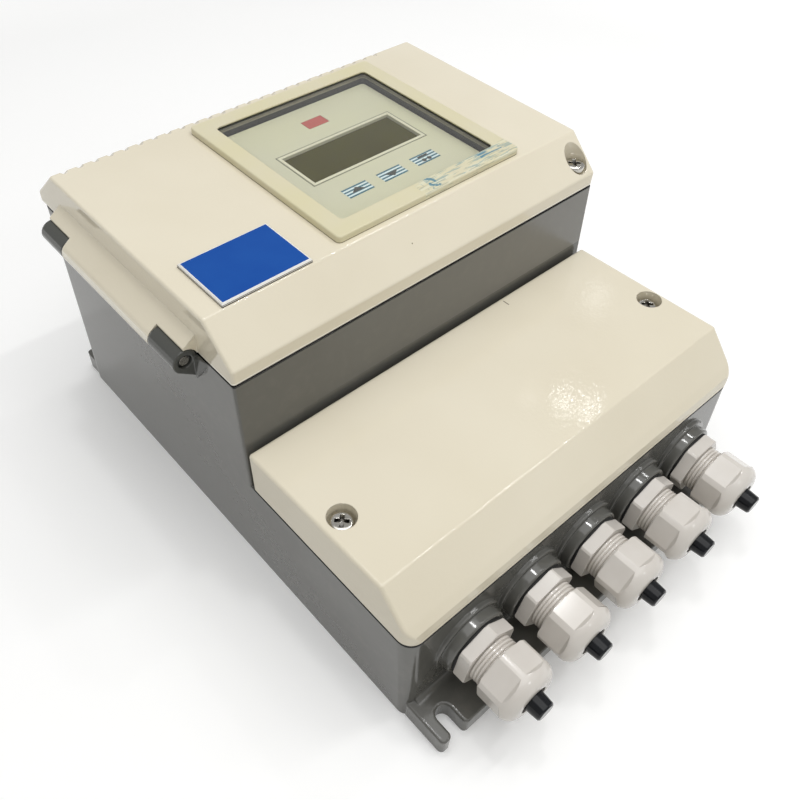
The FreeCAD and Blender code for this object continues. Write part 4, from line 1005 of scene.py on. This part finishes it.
class FLOW_OT_set_stage(bpy.types.Operator):
    """Floor, lamps and camera"""

    bl_idname = "flow.set_stage"
    bl_label = "Set stage"

    def execute(self, context):
        stage = context.scene.stage_settings
        bpy.ops.object.select_all(action="DESELECT")
        bpy.ops.mesh.primitive_plane_add(size=40, location=(0, 0, 0))
        floor = context.object
        floor.name = "studio_floor"
        # Seamless paper: white to the camera, glowing more with distance so that no horizon shows
        material, tree, place = new_material("studio_paper")
        seen = self.seen(tree)
        away = node(tree, "ShaderNodeVectorMath", {0: place}, operation="LENGTH").outputs["Value"]
        near, far = 0.5, 1.8
        steps = {"Value": away, "From Min": near, "From Max": far, "To Min": stage.lift}
        fade = node(tree, "ShaderNodeMapRange", steps).outputs["Result"]
        glow = node(tree, "ShaderNodeMath", {0: fade, 1: seen}, operation="MULTIPLY").outputs[0]
        paper = {
            "Base Color": coats(tree, stage.bounce, (seen, stage.floor)),
            "Roughness": 0.9,
            "Emission Color": (1, 1, 1, 1),
            "Emission Strength": glow,
        }
        close_material(tree, paper)
        floor.data.materials.append(material)
        # Round lamps: name, place and diameter in metres, power
        for name, place, size, watts in (
            ("overhead", (-0.1, -0.15, 1.3), 1.4, stage.key_power),
            ("front_fill", (0.5, -1.2, 0.7), 1.0, stage.fill_power),
            ("bulb_rear", (0.08, 0.15, 1.28), 0.1, stage.bulb_power),
            ("bulb_right", (0.72, 0.14, 1.28), 0.07, stage.bulb_power / 2),
            ("bulb_front", (0.2, -1.3, 1.2), 0.28, stage.bulb_power * 1.2),
            ("glare_left", (0.985, 0.47, 1.18), 0.03, stage.glare_power),
            ("glare_right", (1.008, 0.415, 1.18), 0.03, stage.glare_power),
            ("glare_tail", (0.938, 0.535, 1.18), 0.04, stage.glare_power / 5),
            ("glare_far", (1.33, 0.648, 1.18), 0.06, stage.glare_power / 2),
        ):
            lamp = self.hang(context.scene, name, place, size, watts)
            lamp.rotation_mode = "QUATERNION"
            lamp.rotation_quaternion = (LAMP_AIM - Vector(place)).to_track_quat("-Z", "Y")
        tube = self.hang(context.scene, "tube", (0.66, -0.3, 1.2), 0.58, stage.tube_power)
        tube.data.shape = "RECTANGLE"
        tube.data.size_y = 0.04
        self.set_world(context.scene, stage.daylight)
        self.set_camera(context.scene, stage.lens)
        context.scene.view_settings.view_transform = "Standard"
        return {"FINISHED"}

    def hang(self, scene, name, place, size, watts):
        """Hang a round lamp over the floor, facing down."""
        lamp = bpy.data.lights.new(name, "AREA")
        lamp.shape = "DISK"
        lamp.size = size
        lamp.energy = watts
        hung = bpy.data.objects.new(name, lamp)
        scene.collection.objects.link(hung)
        hung.location = place
        return hung

    def seen(self, tree):
        """Factor that is 1 where the camera sees a surface, straight, mirrored or through glass."""
        path = node(tree, "ShaderNodeLightPath").outputs
        factor = path["Is Camera Ray"]
        for ray in ("Is Glossy Ray", "Is Transmission Ray"):
            either = {0: factor, 1: path[ray]}
            factor = node(tree, "ShaderNodeMath", either, operation="MAXIMUM").outputs[0]
        direct = {0: path["Diffuse Depth"], 1: 0.5}
        direct = node(tree, "ShaderNodeMath", direct, operation="LESS_THAN").outputs[0]
        return node(tree, "ShaderNodeMath", {0: factor, 1: direct}, operation="MULTIPLY").outputs[0]

    def set_world(self, scene, daylight):
        """White room: daylight on the unit, white to the camera, dimmer where it is mirrored."""
        world = bpy.data.worlds.new("studio")
        scene.world = world
        world.use_nodes = True
        tree = world.node_tree
        steps = {"Value": self.seen(tree), "To Min": daylight, "To Max": 1.0}
        strength = node(tree, "ShaderNodeMapRange", steps).outputs["Result"]
        mirrored = node(tree, "ShaderNodeLightPath").outputs["Is Glossy Ray"]
        links = {"Factor": mirrored, "A": strength, "B": daylight * 1.1}
        strength = node(tree, "ShaderNodeMix", links).outputs["Result"]
        tree.links.new(strength, tree.nodes["Background"].inputs["Strength"])
        tree.nodes["Background"].inputs["Color"].default_value = (1, 1, 1, 1)

    def set_camera(self, scene, lens):
        """Camera at the photo's viewing angle."""
        camera = bpy.data.cameras.new("photo_camera")
        camera.lens = lens
        camera.sensor_width = 36
        camera.shift_x, camera.shift_y = CAMERA_SHIFT
        camera.clip_start = 0.01
        camera_object = bpy.data.objects.new("photo_camera", camera)
        scene.collection.objects.link(camera_object)
        camera_object.location = CAMERA_PLACE
        camera_object.rotation_euler = CAMERA_TURN
        scene.camera = camera_object


class FLOW_PT_panel(bpy.types.Panel):
    """Lists the steps that finish the unit"""

    bl_idname = "FLOW_PT_panel"
    bl_label = "Flow unit"
    bl_space_type = "VIEW_3D"
    bl_region_type = "UI"
    bl_category = "Flow unit"

    def draw(self, context):
        for operator in OPERATORS:
            self.layout.operator(operator.bl_idname)


GROUPS = (UnitColours, ScrewSizes, LegendSizes, StageSettings)
OPERATORS = (
    FLOW_OT_coat_castings,
    FLOW_OT_finish_window,
    FLOW_OT_finish_fittings,
    FLOW_OT_finish_glands,
    FLOW_OT_finish_inside,
    FLOW_OT_turn_screws,
    FLOW_OT_print_keys,
    FLOW_OT_print_outline,
    FLOW_OT_set_stage,
)
CLASSES = (*GROUPS, *OPERATORS, FLOW_PT_panel)


def register():
    for item in CLASSES:
        bpy.utils.register_class(item)
    bpy.types.Scene.unit_colours = bpy.props.PointerProperty(type=UnitColours)
    bpy.types.Scene.screw_sizes = bpy.props.PointerProperty(type=ScrewSizes)
    bpy.types.Scene.legend_sizes = bpy.props.PointerProperty(type=LegendSizes)
    bpy.types.Scene.stage_settings = bpy.props.PointerProperty(type=StageSettings)


def unregister():
    del bpy.types.Scene.stage_settings
    del bpy.types.Scene.legend_sizes
    del bpy.types.Scene.screw_sizes
    del bpy.types.Scene.unit_colours
    for item in reversed(CLASSES):
        bpy.utils.unregister_class(item)


def main():
    """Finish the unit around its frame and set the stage."""
    register()
    bpy.ops.flow.coat_castings()
    bpy.ops.flow.finish_window()
    bpy.ops.flow.finish_fittings()
    bpy.ops.flow.finish_glands()
    bpy.ops.flow.finish_inside()
    bpy.ops.flow.turn_screws()
    bpy.ops.flow.print_keys()
    bpy.ops.flow.print_outline()
    bpy.ops.flow.set_stage()


if __name__ == "__main__":
    main()
